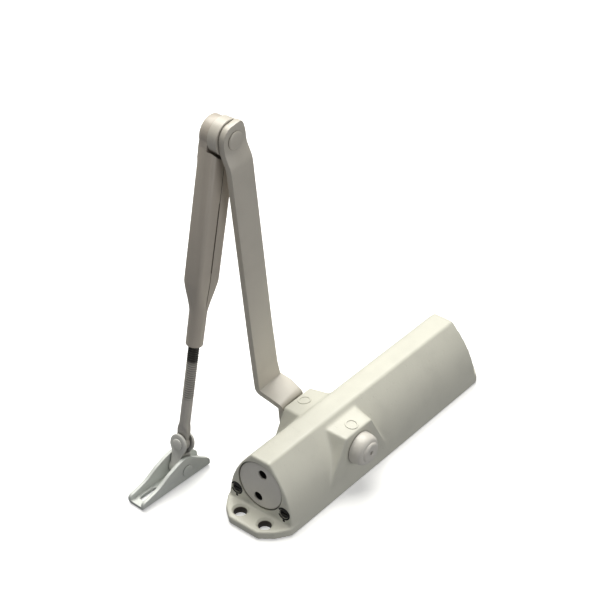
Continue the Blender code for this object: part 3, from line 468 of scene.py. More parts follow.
def paint_layers(finish, base, crevice_shade_colour):
    """Warm silver enamel: soft mottling, fine flake, orange peel and painted shade in the corners."""
    darker = tuple(0.90 * channel for channel in base)
    lighter = tuple(min(1.0, 1.06 * channel) for channel in base)
    finish.tint(finish.ranged(finish.noise(55.0, 3.0), 0.42, 0.72, 0.0, 0.55), darker)
    finish.tint(finish.ranged(finish.noise(2600.0, 2.0), 0.55, 0.75, 0.0, 0.6), lighter)
    # Painted shade: the enamel darkens towards the given dark colour where ambient occlusion finds a corner
    # or crevice.
    finish.tint(finish.ranged(finish.crevices(3.0 * MM), 0.0, 1.0, 0.0, 0.55), crevice_shade_colour)
    finish.relief(finish.noise(520.0, 2.0), 0.05 * MM)
    finish.relief(finish.noise(2400.0, 2.0), 0.012 * MM)


def cast_paint():
    """Enamel on the casting, with faint pits, painted shade in its corners and painted shade inside its
    screw holes.
    """
    base = (0.76, 0.75, 0.655)
    finish = Finish("cast_enamel", base, 0.42, 0.0, 0.25)
    # The last colour is the painted shade in the casting's corners.
    paint_layers(finish, base, (0.30, 0.28, 0.23))
    pits = finish.ranged(finish.noise(300.0, 5.0), 0.30, 0.38, 0.0, 1.0)
    finish.relief(pits, 0.06 * MM)
    finish.rough(finish.ranged(finish.noise(120.0), 0.3, 0.7, 0.36, 0.50))
    # Painted shade: the walls of the foot's screw holes are darkened nearly to black.
    for hole_x in (VALVE_FOOT_HOLE_X, SPRING_FOOT_HOLE_X):
        for side in (-1.0, 1.0):
            radius = finish.radius_from((hole_x, side * FOOT_HOLE_HALF_SPACING, 0.0))
            wall, rim = FOOT_HOLE_RADIUS + 0.1 * MM, FOOT_HOLE_RADIUS + 0.5 * MM
            finish.tint(finish.ranged(radius, wall, rim, 1.0, 0.0), (0.07, 0.06, 0.045))
    return finish.material


def steel_paint(name, base, crevice_shade_colour):
    """Enamel on the pressed steel pieces, a little thinner than on the casting."""
    finish = Finish(name, base, 0.40, 0.0, 0.3)
    # The third colour is the painted shade in the steel's corners.
    paint_layers(finish, base, crevice_shade_colour)
    finish.rough(finish.ranged(finish.noise(160.0), 0.3, 0.7, 0.34, 0.48))
    return finish.material


def plug_paint():
    """Enamel on the plugs' outer faces, with painted shade just below the face and in the spanner holes."""
    # Painted light: the plug's enamel is the casting's enamel made lighter.
    base = (0.84, 0.81, 0.75)
    finish = Finish("plug_enamel", base, 0.45, 0.0, 0.15)
    # The last colour is the painted shade in the plug's corners.
    paint_layers(finish, base, (0.16, 0.15, 0.12))
    # Painted shade: from 0.4 mm to 1.4 mm below the face the plug darkens to nearly black.
    depth = finish.node("ShaderNodeMath", operation="ABSOLUTE")
    finish.feed(depth.inputs[0], finish.along("X"))
    below = finish.ranged(depth.outputs["Value"], 0.4 * MM, 1.4 * MM, 0.0, 1.0)
    finish.tint(below, (0.02, 0.018, 0.015))
    return finish.material


def rod_paint():
    """Enamel on the rod, with painted shade in its corners and in the thread's grooves, and bare and oily at
    its top.
    """
    base = (0.54, 0.515, 0.475)
    finish = Finish("rod_enamel", base, 0.42, 0.0, 0.2)
    paint_layers(finish, base, (0.14, 0.12, 0.10))
    height = finish.along("Z")
    # Painted shade: the thread's grooves are darkened.
    groove = finish.ranged(finish.radius_from((0.0, FOREARM_Y, 0.0)), 2.85 * MM, 3.35 * MM, 0.55, 0.0)
    threaded = finish.ranged(height, -THREAD_END - 0.5 * MM, -THREAD_END + 0.5 * MM, 0.0, 1.0)
    finish.tint(finish.product(groove, threaded), (0.06, 0.055, 0.045))
    bare = finish.ranged(height, -BARE_THREAD_END - 1.5 * MM, -BARE_THREAD_END + 1.5 * MM, 0.0, 0.96)
    finish.tint(bare, (0.035, 0.033, 0.028))
    finish.rough(finish.ranged(bare, 0.0, 1.0, 0.42, 0.32))
    return finish.material


def turned_metal(name, base, roughness, axis, metallic):
    """Machined metal with tool rings about an axis."""
    finish = Finish(name, base, roughness, metallic)
    rings = finish.node("ShaderNodeTexWave", wave_type="RINGS", rings_direction=axis)
    finish.feed(rings.inputs["Vector"], finish.place)
    rings.inputs["Scale"].default_value = 900.0
    rings.inputs["Distortion"].default_value = 0.6
    finish.tint(finish.ranged(finish.noise(90.0), 0.4, 0.7, 0.0, 0.5), tuple(0.75 * c for c in base))
    # Painted shade: the metal darkens where ambient occlusion finds a crevice.
    finish.tint(finish.ranged(finish.crevices(2.0 * MM), 0.0, 1.0, 0.0, 0.6), (0.03, 0.03, 0.03))
    finish.relief(rings.outputs["Fac"], 0.01 * MM)
    finish.rough(finish.ranged(finish.noise(400.0), 0.3, 0.7, roughness - 0.06, roughness + 0.08))
    return finish.material


def grained(name, base, roughness, grain, depth, coat=0.0):
    """Moulded plastic or rubber with a fine grain."""
    finish = Finish(name, base, roughness, 0.0, coat)
    finish.tint(finish.ranged(finish.noise(140.0), 0.35, 0.7, 0.0, 0.5), tuple(0.9 * c for c in base))
    # Painted shade: the moulding darkens where ambient occlusion finds a crevice.
    finish.tint(finish.ranged(finish.crevices(2.0 * MM), 0.0, 1.0, 0.0, 0.5), tuple(0.35 * c for c in base))
    finish.relief(finish.noise(grain, 2.0), depth)
    finish.rough(finish.ranged(finish.noise(500.0), 0.3, 0.7, roughness - 0.05, roughness + 0.08))
    return finish.material


def make_finishes():
    """Every finish in the scene, by the record's slot names and a few of its own."""
    # The last colour of each steel enamel is the painted shade in its corners.
    return {
        "silver_paint": cast_paint(),
        # Painted shade: the arm's and the sleeve's base colours are the casting's enamel made darker and,
        # for the sleeve, browner.
        "arm_paint": steel_paint("arm_enamel", (0.655, 0.615, 0.54), (0.16, 0.14, 0.11)),
        "sleeve_paint": steel_paint("sleeve_enamel", (0.57, 0.515, 0.445), (0.10, 0.08, 0.06)),
        "yoke_paint": steel_paint("yoke_enamel", (0.74, 0.73, 0.69), (0.04, 0.04, 0.035)),
        "shoe_paint": steel_paint("shoe_enamel", (0.73, 0.755, 0.72), (0.10, 0.10, 0.09)),
        "plug_paint": plug_paint(),
        "rod_paint": rod_paint(),
        "cap_plastic": grained("cap_moulding_grey", (0.80, 0.77, 0.71), 0.38, 1800.0, 0.012 * MM, 0.2),
        "plug_steel": turned_metal("plug_turned", (0.50, 0.48, 0.44), 0.42, "X", 0.35),
        "bright_steel": turned_metal("bright_turned", (0.62, 0.62, 0.61), 0.28, "Y", 0.9),
        "spring_steel": turned_metal("spring_wire", (0.16, 0.16, 0.18), 0.38, "X", 0.9),
        "black_screw": turned_metal("black_oxide", (0.025, 0.025, 0.025), 0.42, "X", 0.5),
        "rubber": grained("seal_rubber", (0.02, 0.02, 0.02), 0.75, 900.0, 0.02 * MM),
        "ink": grained("mark_ink", (0.006, 0.006, 0.006), 0.7, 900.0, 0.01 * MM),
    }


# ---------------------------------------------------------------- casing

def body_outline():
    """Half-round cross-section of the casting, as (y, z) points."""
    side = interpolate_bezier(
        Vector((7.0 * MM, BODY_HEIGHT)),
        Vector((13.3 * MM, 36.8 * MM)),
        Vector((23.0 * MM, 27.0 * MM)),
        Vector((24.4 * MM, FOOT_THICKNESS)),
        32,
    )
    right = [(point.x, point.y) for point in side] + [(BASE_HALF_WIDTH, 0.0)]
    left = [(-across, up) for across, up in reversed(right)]
    return right + left


def drafted_body():
    """The half-round body, whose spring end leans out towards the mounting face."""
    outline = body_outline()
    valve_end = [Vector((VALVE_END_X, across, up)) for across, up in outline]
    spring_end = []
    for across, up in outline:
        lean_out = SPRING_END_DRAFT * (1.0 - up / BODY_HEIGHT)
        spring_end.append(Vector((SPRING_END_X + lean_out, across, up)))
    return lofted([valve_end, spring_end])


def foot_plate(corners):
    """A mounting foot that tapers away from one end of the body."""
    outline = list(corners) + [(along, -across) for along, across in reversed(corners)]
    return prism(outline, "Z", 0.0, FOOT_THICKNESS)


def boss_section(across, half_lengths, top_z):
    """Outline of the pinion bosses at one distance across the body."""
    base_half, top_half = half_lengths
    return [
        Vector((-base_half, across, BOSS_FLARE_Z)),
        Vector((base_half, across, BOSS_FLARE_Z)),
        Vector((top_half, across, top_z)),
        Vector((-top_half, across, top_z)),
    ]


def pinion_bosses():
    """Both pinion bosses as one block through the body, growing towards the middle."""
    return lofted([
        boss_section(-BOSS_FACE_Y, BOSS_FACE_HALF_LENGTHS, BOSS_FACE_TOP_Z),
        boss_section(0.0, BOSS_MIDDLE_HALF_LENGTHS, BOSS_MIDDLE_TOP_Z),
        boss_section(BOSS_FACE_Y, BOSS_FACE_HALF_LENGTHS, BOSS_FACE_TOP_Z),
    ])


def joined(shapes):
    """Put several closed shapes into one."""
    whole = bmesh.new()
    for shape in shapes:
        mesh = bpy.data.meshes.new("share")
        shape.to_mesh(mesh)
        shape.free()
        whole.from_mesh(mesh)
        bpy.data.meshes.remove(mesh)
    return whole


def foot_hole():
    """A countersunk screw hole, as the shape to cut."""
    over = 2.0 * MM
    profile = [
        (0.0, -over),
        (FOOT_HOLE_RADIUS, -over),
        (FOOT_HOLE_RADIUS, 3.6 * MM),
        (FOOT_HOLE_RADIUS + 0.5 * MM, 4.5 * MM),
        (FOOT_HOLE_RADIUS + 3.6 * MM, 7.6 * MM),
        (0.0, 7.6 * MM),
    ]
    return turned(profile, "Z", 48)


def stepped_bore(radii, ends, axis):
    """A bore whose radius changes at given places along an axis."""
    profile = [(0.0, ends[0])]
    for index, radius in enumerate(radii):
        profile.append((radius, ends[index]))
        profile.append((radius, ends[index + 1]))
    profile.append((0.0, ends[-1]))
    return turned(profile, axis, 96)


def make_casting(finishes):
    """The casting with soft cast edges and blends, then its machined bores and holes."""
    rough = joined([drafted_body(), foot_plate(VALVE_FOOT), foot_plate(SPRING_FOOT), pinion_bosses()])
    casting = add_piece(
        "body_casting", rough, finishes["silver_paint"],
        "casing", BODY_FRAME, ("closer_body",),
    )
    remesh = casting.modifiers.new("remesh", "REMESH")
    remesh.mode = "VOXEL"
    remesh.voxel_size = VOXEL
    smooth = casting.modifiers.new("smooth", "SMOOTH")
    smooth.factor = 0.5
    smooth.iterations = 14
    thin = casting.modifiers.new("thin", "DECIMATE")
    thin.ratio = 0.3
    apply_modifiers(casting)
    machine_casting(casting)
    casting.data.shade_smooth()
    casting.data.set_sharp_from_angle(angle=CAST_SHARP_ANGLE)


def machine_casting(casting):
    """Cut the cylinder bore, the pinion's bore, the valve bores and the screw holes."""
    over = 1.0 * MM
    cylinder_bore = stepped_bore(
        (MOUTH_RADIUS, BORE_RADIUS, MOUTH_RADIUS),
        (
            VALVE_END_X - over,
            VALVE_END_X + MOUTH_DEPTH,
            SPRING_END_X - MOUTH_DEPTH,
            SPRING_END_X + SPRING_END_DRAFT + over,
        ),
        "X",
    )
    combine(casting, shifted(cylinder_bore, Vector((0.0, 0.0, BORE_Z))))
    pinion_bore = stepped_bore(
        (8.3 * MM, 10.0 * MM, 11.0 * MM),
        (-BOSS_FACE_Y - over, -20.3 * MM, 0.0, BOSS_FACE_Y + over),
        "Y",
    )
    combine(casting, shifted(pinion_bore, PINION_POINT))
    for side in (-1.0, 1.0):
        bore = cylinder(3.3 * MM, VALVE_END_X - over, VALVE_END_X + 17.0 * MM, "X")
        combine(casting, shifted(bore, Vector((0.0, side * VALVE_Y, VALVE_Z))))
        for hole_x in (VALVE_FOOT_HOLE_X, SPRING_FOOT_HOLE_X):
            centre = Vector((hole_x, side * FOOT_HOLE_HALF_SPACING, 0.0))
            combine(casting, shifted(foot_hole(), centre))


def make_plug(name, node, face_x, direction, finishes):
    """An end plug with a turned face, a chamfered rim and two spanner holes."""
    flange = MOUTH_RADIUS - 0.55 * MM
    nose = BORE_RADIUS - GAP
    steps = [
        (0.0, 0.0),
        (flange - 0.9 * MM, 0.0),
        (flange - 0.35 * MM, 0.15 * MM),
        (flange, 0.6 * MM),
        (flange, MOUTH_DEPTH - 0.6 * MM),
        (nose, MOUTH_DEPTH - 0.6 * MM),
        (nose, 8.6 * MM),
        (nose - 1.9 * MM, 8.6 * MM),
        (nose - 1.9 * MM, 11.0 * MM),
        (nose, 11.0 * MM),
        (nose, 13.0 * MM),
        (0.0, 13.0 * MM),
    ]
    profile = [(radius, direction * depth) for radius, depth in steps]
    frame = Matrix.Translation((face_x, 0.0, BORE_Z))
    plug = add_piece(
        name, turned(profile, "X", 96), finishes["plug_paint"],
        "casing", frame, (node,),
    )
    for side in (-1.0, 1.0):
        across = -side * SPANNER_HOLE_OFFSET * math.sin(SPANNER_HOLE_TILT)
        up = side * SPANNER_HOLE_OFFSET * math.cos(SPANNER_HOLE_TILT)
        hole = [
            (0.0, -direction * 1.0 * MM),
            (4.0 * MM, -direction * 1.0 * MM),
            (3.1 * MM, direction * 0.1 * MM),
            (3.0 * MM, direction * 5.0 * MM),
            (0.0, direction * 6.2 * MM),
        ]
        combine(plug, shifted(turned(hole, "X", 32), Vector((0.0, across, up))))


def make_cap(finishes):
    """The cap over the unused end of the pinion: a round shoulder, a raised button and a dimple."""
    base_y = -BOSS_FACE_Y - GAP
    shoulder = interpolate_bezier(
        Vector((10.2 * MM, -1.6 * MM)),
        Vector((10.1 * MM, -5.8 * MM)),
        Vector((9.2 * MM, -7.7 * MM)),
        Vector((7.1 * MM, -8.1 * MM)),
        14,
    )
    button = interpolate_bezier(
        Vector((6.7 * MM, -8.2 * MM)),
        Vector((6.5 * MM, -9.2 * MM)),
        Vector((5.8 * MM, -9.7 * MM)),
        Vector((4.4 * MM, -9.7 * MM)),
        8,
    )
    outer = [(10.4 * MM, 0.0), (10.4 * MM, -0.9 * MM), (10.25 * MM, -1.3 * MM)]
    outer += [(point.x, point.y) for point in shoulder + button]
    inner = [
        (2.2 * MM, -9.7 * MM),
        (1.7 * MM, -9.5 * MM),
        (1.3 * MM, -9.0 * MM),
        (1.3 * MM, -7.0 * MM),
        (6.5 * MM, -7.0 * MM),
        (6.5 * MM, 0.0),
    ]
    profile = [(radius, base_y + along) for radius, along in outer + inner]
    add_piece(
        "spindle_cap_moulding", turned(profile, "Y", 96), finishes["cap_plastic"],
        "casing", PINION_FRAME, ("spindle_cap",),
    )


def make_pad_rings(finishes):
    """A plain raised ring on the sloping pad of each pinion boss."""
    pad_slope = (BOSS_MIDDLE_TOP_Z - BOSS_FACE_TOP_Z) / BOSS_FACE_Y
    pad_y = 18.2 * MM
    pad_z = BOSS_MIDDLE_TOP_Z - pad_slope * pad_y
    low, high = -0.3 * MM, 0.4 * MM
    ring = [(3.0 * MM, low), (4.3 * MM, low), (4.15 * MM, high), (3.15 * MM, high)]
    for name, side in (("pad_emblem_cap", -1.0), ("pad_emblem_arm", 1.0)):
        tilt = Matrix.Rotation(-side * math.atan(pad_slope), 4, "X")
        frame = Matrix.Translation((0.0, side * pad_y, pad_z)) @ tilt
        shape = turned(ring, "Z", 48)
        add_piece(name, shape, finishes["silver_paint"], "casing", frame, ())


def make_valve_marks(finishes):
    """A plain black mark round each valve screw: an open ring and a short pointer."""
    low, high = -0.12 * MM, 0.5 * MM
    ring_outline = arc(4.4 * MM, 25.0, 335.0, 30) + arc(3.4 * MM, 335.0, 25.0, 30)
    for name, side in (("valve_mark_sweep", 1.0), ("valve_mark_latch", -1.0)):
        ring = prism(ring_outline, "X", low, high)
        pointer = box((low, -0.8 * MM, -6.8 * MM), (high, 0.8 * MM, -4.6 * MM))
        frame = Matrix.Translation((VALVE_END_X, side * VALVE_Y, VALVE_Z))
        add_piece(name, joined([ring, pointer]), finishes["ink"], "casing", frame, ())


# ---------------------------------------------------------------- main arm and elbow

def plate_sections(stations):
    """Four-cornered sections of a bent plate along (y, z, left, right) stations."""
    points = [Vector((station[0], station[1])) for station in stations]
    last = len(points) - 1
    sections = []
    for index, (_, _, left, right) in enumerate(stations):
        here = points[index]
        arriving = (here - points[index - 1]).normalized() if index else (points[1] - here).normalized()
        leaving = (points[index + 1] - here).normalized() if index < last else arriving
        along = (arriving + leaving).normalized()
        offset = Vector((along.y, -along.x)) * (PLATE / 2.0 / along.dot(arriving))
        front = here - offset
        back = here + offset
        sections.append([
            Vector((left, front.x, front.y)),
            Vector((right, front.x, front.y)),
            Vector((right, back.x, back.y)),
            Vector((left, back.x, back.y)),
        ])
    return sections


def bend_reach(here, there, bend):
    """Share of the way from a corner to the next station that its rounded bend takes up."""
    length = (there.xy - here.xy).length
    return min(bend, length * 0.45) / max(length, 1e-9)


def eased(stations, bend):
    """Replace each inner corner of a station line with a rounded bend."""
    result = [stations[0]]
    for index in range(1, len(stations) - 1):
        here = Vector(stations[index])
        before = Vector(stations[index - 1])
        after = Vector(stations[index + 1])
        turn = (here.xy - before.xy).angle(after.xy - here.xy)
        if turn < math.radians(2.0):
            result.append(stations[index])
            continue
        start = here.lerp(before, bend_reach(here, before, bend))
        end = here.lerp(after, bend_reach(here, after, bend))
        result += [tuple(point) for point in blended(start, here, end)]
    result.append(stations[-1])
    return result


def main_arm_stations():
    """Centre line and edges of the main arm, in the arm's own frame."""
    hub_y = HUB_FACE_Y + PLATE / 2.0
    elbow_y = ELBOW_FACE_Y + PLATE / 2.0
    half = 9.2 * MM
    hub_depth = 9.0 * MM
    hub = []
    for step in range(1, 19):
        angle = math.radians(90.0 * step / 18.0)
        across = HUB_HALF_WIDTH * math.sin(angle)
        hub.append((hub_y, HUB_BOTTOM + hub_depth * (1.0 - math.cos(angle)), -across, across))
    strip = [
        (hub_y, 8.0 * MM, -9.5 * MM, HUB_HALF_WIDTH),
        (hub_y, 10.4 * MM, -9.4 * MM, HUB_HALF_WIDTH),
        (37.5 * MM, 12.2 * MM, -half, 11.4 * MM),
        (46.9 * MM, 14.0 * MM, -half, 10.9 * MM),
        (47.2 * MM, 26.0 * MM, -half, 9.6 * MM),
        (47.9 * MM, 60.0 * MM, -half, half),
        (49.2 * MM, MAIN_ARM_LENGTH - 15.0 * MM, -half, half),
        (elbow_y, MAIN_ARM_LENGTH - 5.5 * MM, -half, half),
        (elbow_y, MAIN_ARM_LENGTH, -half, half),
        (elbow_y, MAIN_ARM_LENGTH + 3.0 * MM, -9.0 * MM, 9.0 * MM),
        (elbow_y, MAIN_ARM_LENGTH + 5.5 * MM, -8.0 * MM, 8.6 * MM),
        (elbow_y, MAIN_ARM_LENGTH + 7.5 * MM, -6.5 * MM, 8.0 * MM),
        (elbow_y, MAIN_ARM_LENGTH + 8.9 * MM, -4.6 * MM, 7.2 * MM),
        (elbow_y, MAIN_ARM_LENGTH + 9.7 * MM, -2.0 * MM, 5.8 * MM),
    ]
    return hub + eased(strip, 2.6 * MM)


def dome(radius, base, rise, angles):
    """Points over a rivet's head, at angles in degrees from its tip."""
    points = []
    for degrees in angles:
        angle = math.radians(degrees)
        points.append((radius * math.sin(angle), base + rise * (0.15 + 0.85 * math.cos(angle))))
    return points


def rivet_profile(shank, head, low, high, low_head, high_head):
    """Section of a rivet along its axis: the shank between two domed heads."""
    low_dome = dome(head, low, -low_head, range(0, 91, 10))
    high_dome = dome(head, high, high_head, range(90, -1, -10))
    return low_dome + [(head, low), (shank, low), (shank, high), (head, high)] + high_dome


def make_main_arm(finishes):
    """The pressed main arm with its square hole, and the hexagon screw."""
    arm = add_piece(
        "main_arm_pressing", lofted(plate_sections(main_arm_stations())), finishes["arm_paint"],
        "arm", ARM_FRAME, ("main_arm",),
    )
    soften(arm, 0.5 * MM, 3, 40.0)
    half = 5.5 * MM
    square = [(-half, -half), (half, -half), (half, half), (-half, half)]
    combine(arm, prism(square, "Y", HUB_FACE_Y - 2.0 * MM, HUB_FACE_Y + PLATE + 2.0 * MM))
    hole = cylinder(ELBOW_HOLE_RADIUS, ELBOW_FACE_Y - 3.0 * MM, ELBOW_FACE_Y + PLATE + 3.0 * MM, "Y")
    combine(arm, shifted(hole, Vector((0.0, 0.0, MAIN_ARM_LENGTH))))
    head_low = HUB_FACE_Y + PLATE + 1.6 * MM
    head_high = head_low + 2.2 * MM
    hexagon = prism(arc(6.0 * MM, 0.0, 300.0, 5), "Y", head_low, head_high)
    screw = add_piece(
        "arm_screw_hexagon", hexagon, finishes["bright_steel"],
        "arm", ARM_FRAME, ("arm_screw",),
    )
    crown = [(0.0, head_low - 1.0 * MM), (6.4 * MM, head_low - 1.0 * MM), (6.4 * MM, head_high - 0.8 * MM)]
    crown += [(5.1 * MM, head_high), (0.0, head_high)]
    combine(screw, turned(crown, "Y"), "INTERSECT")
    combine(screw, cylinder(3.6 * MM, HUB_FACE_Y + PLATE - 11.5 * MM, head_low + 1.0 * MM, "Y"), "UNION")
    soften(screw, 0.25 * MM, 2, 40.0)


def make_elbow(finishes):
    """The elbow's domed rivet and its round bush."""
    rivet_ends = (ELBOW_FACE_Y - GAP, FOREARM_Y + SLEEVE_HALF_DEPTH + GAP)
    rivet = rivet_profile(4.0 * MM, 5.6 * MM, *rivet_ends, 1.3 * MM, 1.6 * MM)
    elbow_frame = ARM_FRAME @ Matrix.Translation((0.0, 0.0, MAIN_ARM_LENGTH))
    add_piece(
        "elbow_rivet_domed", turned(rivet, "Y"), finishes["arm_paint"],
        "arm", elbow_frame, ("elbow_rivet",),
    )
    low = ELBOW_FACE_Y + PLATE + GAP
    high = CHEEK_FACE_Y - GAP
    chamfer = 0.25 * MM
    bush = [
        (ELBOW_HOLE_RADIUS, low),
        (BUSH_RADIUS - chamfer, low),
        (BUSH_RADIUS, low + chamfer),
        (BUSH_RADIUS, high - chamfer),
        (BUSH_RADIUS - chamfer, high),
        (ELBOW_HOLE_RADIUS, high),
    ]
    add_piece(
        "elbow_bush_turned", turned(bush, "Y", 96), finishes["arm_paint"],
        "arm", elbow_frame, ("elbow_bush",),
    )


# ---------------------------------------------------------------- forearm

def forearm_section(below, half_width, half_depth, front_radius, back_radius):
    """One cross-section of the sleeve, at a distance below the elbow."""
    outline = rounded_section(half_width, half_depth, front_radius, back_radius)
    return [Vector((across, FOREARM_Y + deep, -below)) for across, deep in outline]


def sleeve_sections():
    """The folded box of the sleeve, tapering with eased shoulders to its ferrule."""
    front, back = 2.6 * MM, 1.0 * MM
    sections = [forearm_section(7.5 * MM, 9.6 * MM, SLEEVE_HALF_DEPTH, front, back)]
    start, end = 90.0 * MM, 110.0 * MM
    steps = 12
    for step in range(steps + 1):
        t = step / steps
        share = 0.65 * t + 0.35 * t * t * (3.0 - 2.0 * t)
        half_width = SLEEVE_HALF_WIDTH + (FERRULE_RADIUS + 0.15 * MM - SLEEVE_HALF_WIDTH) * share
        half_depth = SLEEVE_HALF_DEPTH + (FERRULE_RADIUS + 0.1 * MM - SLEEVE_HALF_DEPTH) * share
        front_radius = front + (FERRULE_RADIUS - front) * share
        back_radius = back + (FERRULE_RADIUS - back) * share
        below = start + (end - start) * t
        sections.append(forearm_section(below, half_width, half_depth, front_radius, back_radius))
    ferrule = FERRULE_RADIUS
    lip = FERRULE_RADIUS - 0.5 * MM
    sections.append(forearm_section(132.2 * MM, ferrule, ferrule, ferrule, ferrule))
    sections.append(forearm_section(132.8 * MM, lip, lip, lip, lip))
    return sections


def make_sleeve(finishes):
    """The folded sleeve: cheek, open box with a seam and a slit, and ferrule."""
    sleeve = add_piece(
        "forearm_sleeve_folded", lofted(sleeve_sections()), finishes["sleeve_paint"],
        "forearm", FOREARM_FRAME, ("forearm_sleeve",),
    )
    cheek = [(-8.4 * MM, -20.0 * MM), (8.4 * MM, -20.0 * MM)]
    cheek += [(9.4 * MM, -14.0 * MM), (9.6 * MM, -6.0 * MM)] + arc(10.0 * MM, -20.0, 200.0, 40)
    cheek += [(-9.6 * MM, -6.0 * MM), (-9.4 * MM, -14.0 * MM)]
    back_y = FOREARM_Y + SLEEVE_HALF_DEPTH - 0.01 * MM
    combine(sleeve, prism(cheek, "Y", CHEEK_FACE_Y, back_y), "UNION")
    front_y = FOREARM_Y - SLEEVE_HALF_DEPTH
    wall = 2.2 * MM
    cavity_half = SLEEVE_HALF_WIDTH - wall
    combine(sleeve, box((-cavity_half, front_y + wall, -92.0 * MM), (cavity_half, CHEEK_FACE_Y, 0.0)))
    combine(sleeve, cylinder(BUSH_CLEARANCE_RADIUS, front_y - 3.0 * MM, CHEEK_FACE_Y, "Y", 96))
    combine(sleeve, cylinder(ELBOW_HOLE_RADIUS, CHEEK_FACE_Y - 3.0 * MM, back_y + 3.0 * MM, "Y"))
    past_ferrule = -134.0 * MM
    rod_bore = cylinder(3.8 * MM, past_ferrule, -60.0 * MM, "Z")
    combine(sleeve, shifted(rod_bore, Vector((0.0, FOREARM_Y, 0.0))))
    seam_half = 0.3 * MM
    outside_y = front_y - 2.0 * MM
    combine(sleeve, box((-seam_half, outside_y, past_ferrule), (seam_half, front_y + 0.9 * MM, 0.0)))
    slit_half = 0.55 * MM
    slit_top, slit_foot = -40.0 * MM, -84.0 * MM
    combine(sleeve, box((-slit_half, outside_y, slit_foot), (slit_half, front_y + 3.0 * MM, slit_top)))
    soften(sleeve, 0.3 * MM, 2, 50.0)


def thread_height(below, angle):
    """How far the thread stands out from its root, 0 to 1, on the helix."""
    phase = (below / THREAD_PITCH - angle / (2.0 * math.pi)) % 1.0
    return 1.0 - abs(2.0 * phase - 1.0)


def thread_sections():
    """Cross-sections of the rod's helical thread, which fades out at both ends."""
    root, crest, end_radius = 2.8 * MM, 3.5 * MM, 3.3 * MM
    row = THREAD_PITCH / 6.0
    count = round((THREAD_END - THREAD_START) / row)
    sections = []
    for index in range(count + 1):
        below = THREAD_START + index * row
        fade = min(1.0, index / 8.0, (count - index) / 10.0)
        ring = []
        for step in range(ROD_STEPS):
            angle = 2.0 * math.pi * step / ROD_STEPS
            radius = root + (crest - root) * thread_height(below, angle)
            radius = radius * fade + end_radius * (1.0 - fade)
            ring.append(Vector((radius * math.cos(angle), FOREARM_Y + radius * math.sin(angle), -below)))
        sections.append(ring)
    return sections


def rod_section(below, half_width, half_depth, power):
    """A cross-section between a circle (power 2) and a rounded rectangle (higher powers)."""
    ring = []
    for step in range(ROD_STEPS):
        angle = 2.0 * math.pi * step / ROD_STEPS
        cosine, sine = math.cos(angle), math.sin(angle)
        across = half_width * math.copysign(abs(cosine) ** (2.0 / power), cosine)
        deep = half_depth * math.copysign(abs(sine) ** (2.0 / power), sine)
        ring.append(Vector((across, FOREARM_Y + deep, -below)))
    return ring


def eye_sections():
    """Cross-sections of the rod's plain shank and of the flattened eye at its foot."""
    eye_half, eye_radius = 2.0 * MM, 4.9 * MM
    flat_start, flat_length, flat_steps = RIVET_BELOW - 14.0 * MM, 6.0 * MM, 14
    sections = [
        rod_section(THREAD_END + 1.0 * MM, ROD_RADIUS, ROD_RADIUS, 2.0),
        rod_section(flat_start, ROD_RADIUS, ROD_RADIUS, 2.0),
    ]
    for step in range(1, flat_steps + 1):
        t = step / flat_steps
        share = t * t * (3.0 - 2.0 * t)
        half_width = ROD_RADIUS + (eye_half - ROD_RADIUS) * share
        half_depth = ROD_RADIUS + (4.2 * MM - ROD_RADIUS) * share
        sections.append(rod_section(flat_start + flat_length * t, half_width, half_depth, 2.0 + 3.0 * share))
    for degrees in range(-40, 81, 10):
        angle = math.radians(degrees)
        half_depth = max(eye_radius * math.cos(angle), 0.9 * MM)
        sections.append(rod_section(RIVET_BELOW + eye_radius * math.sin(angle), eye_half, half_depth, 5.0))
    return sections


def make_rod(finishes):
    """The adjusting rod with a real helical thread, a plain shank and a flattened eye."""
    rod = add_piece(
        "adjusting_rod_threaded", lofted(thread_sections() + eye_sections()), finishes["rod_paint"],
        "rod", FOREARM_FRAME, ("adjusting_rod",),
    )
    hole = cylinder(YOKE_HOLE_RADIUS, -6.0 * MM, 6.0 * MM, "X")
    combine(rod, shifted(hole, Vector((0.0, FOREARM_Y, -RIVET_BELOW))))


def make_yoke(finishes):
    """The yoke round the rod's eye, and its rivet."""
    rivet = rivet_profile(2.0 * MM, 3.7 * MM, -4.7 * MM, 4.7 * MM, 1.2 * MM, 1.2 * MM)
    rivet_frame = FOREARM_FRAME @ Matrix.Translation((0.0, FOREARM_Y, -RIVET_BELOW))
    add_piece(
        "yoke_rivet_domed", turned(rivet, "X", 48), finishes["yoke_paint"],
        "rod", rivet_frame, ("yoke_rivet",),
    )
    drop = YOKE_RIVET_RISE
    ear, neck = 6.3 * MM, 4.1 * MM
    outline = arc(ear, 0.0, 180.0, 32) + [(-ear, -2.0 * MM), (-neck, -6.4 * MM), (-neck, -drop)]
    outline += [(neck, -drop), (neck, -6.4 * MM), (ear, -2.0 * MM)]
    yoke = add_piece(
        "yoke_forged", prism(outline, "X", -4.4 * MM, 4.4 * MM), finishes["yoke_paint"],
        "yoke_unit", YOKE_FRAME, ("yoke",),
    )
    soften(yoke, 0.6 * MM, 3, 40.0)
    gap_half = 2.7 * MM
    reach = 9.0 * MM
    combine(yoke, box((-gap_half, -reach, -6.1 * MM), (gap_half, reach, reach)))
    barrel = shifted(cylinder(5.2 * MM, -4.09 * MM, 4.09 * MM, "Y", 64), Vector((0.0, 0.0, -drop)))
    combine(yoke, barrel, "UNION")
    pin_hole = cylinder(SHOE_PIN_HOLE_RADIUS, -reach, reach, "Y")
    combine(yoke, shifted(pin_hole, Vector((0.0, 0.0, -drop))))
    combine(yoke, cylinder(YOKE_HOLE_RADIUS, -reach, reach, "X"))


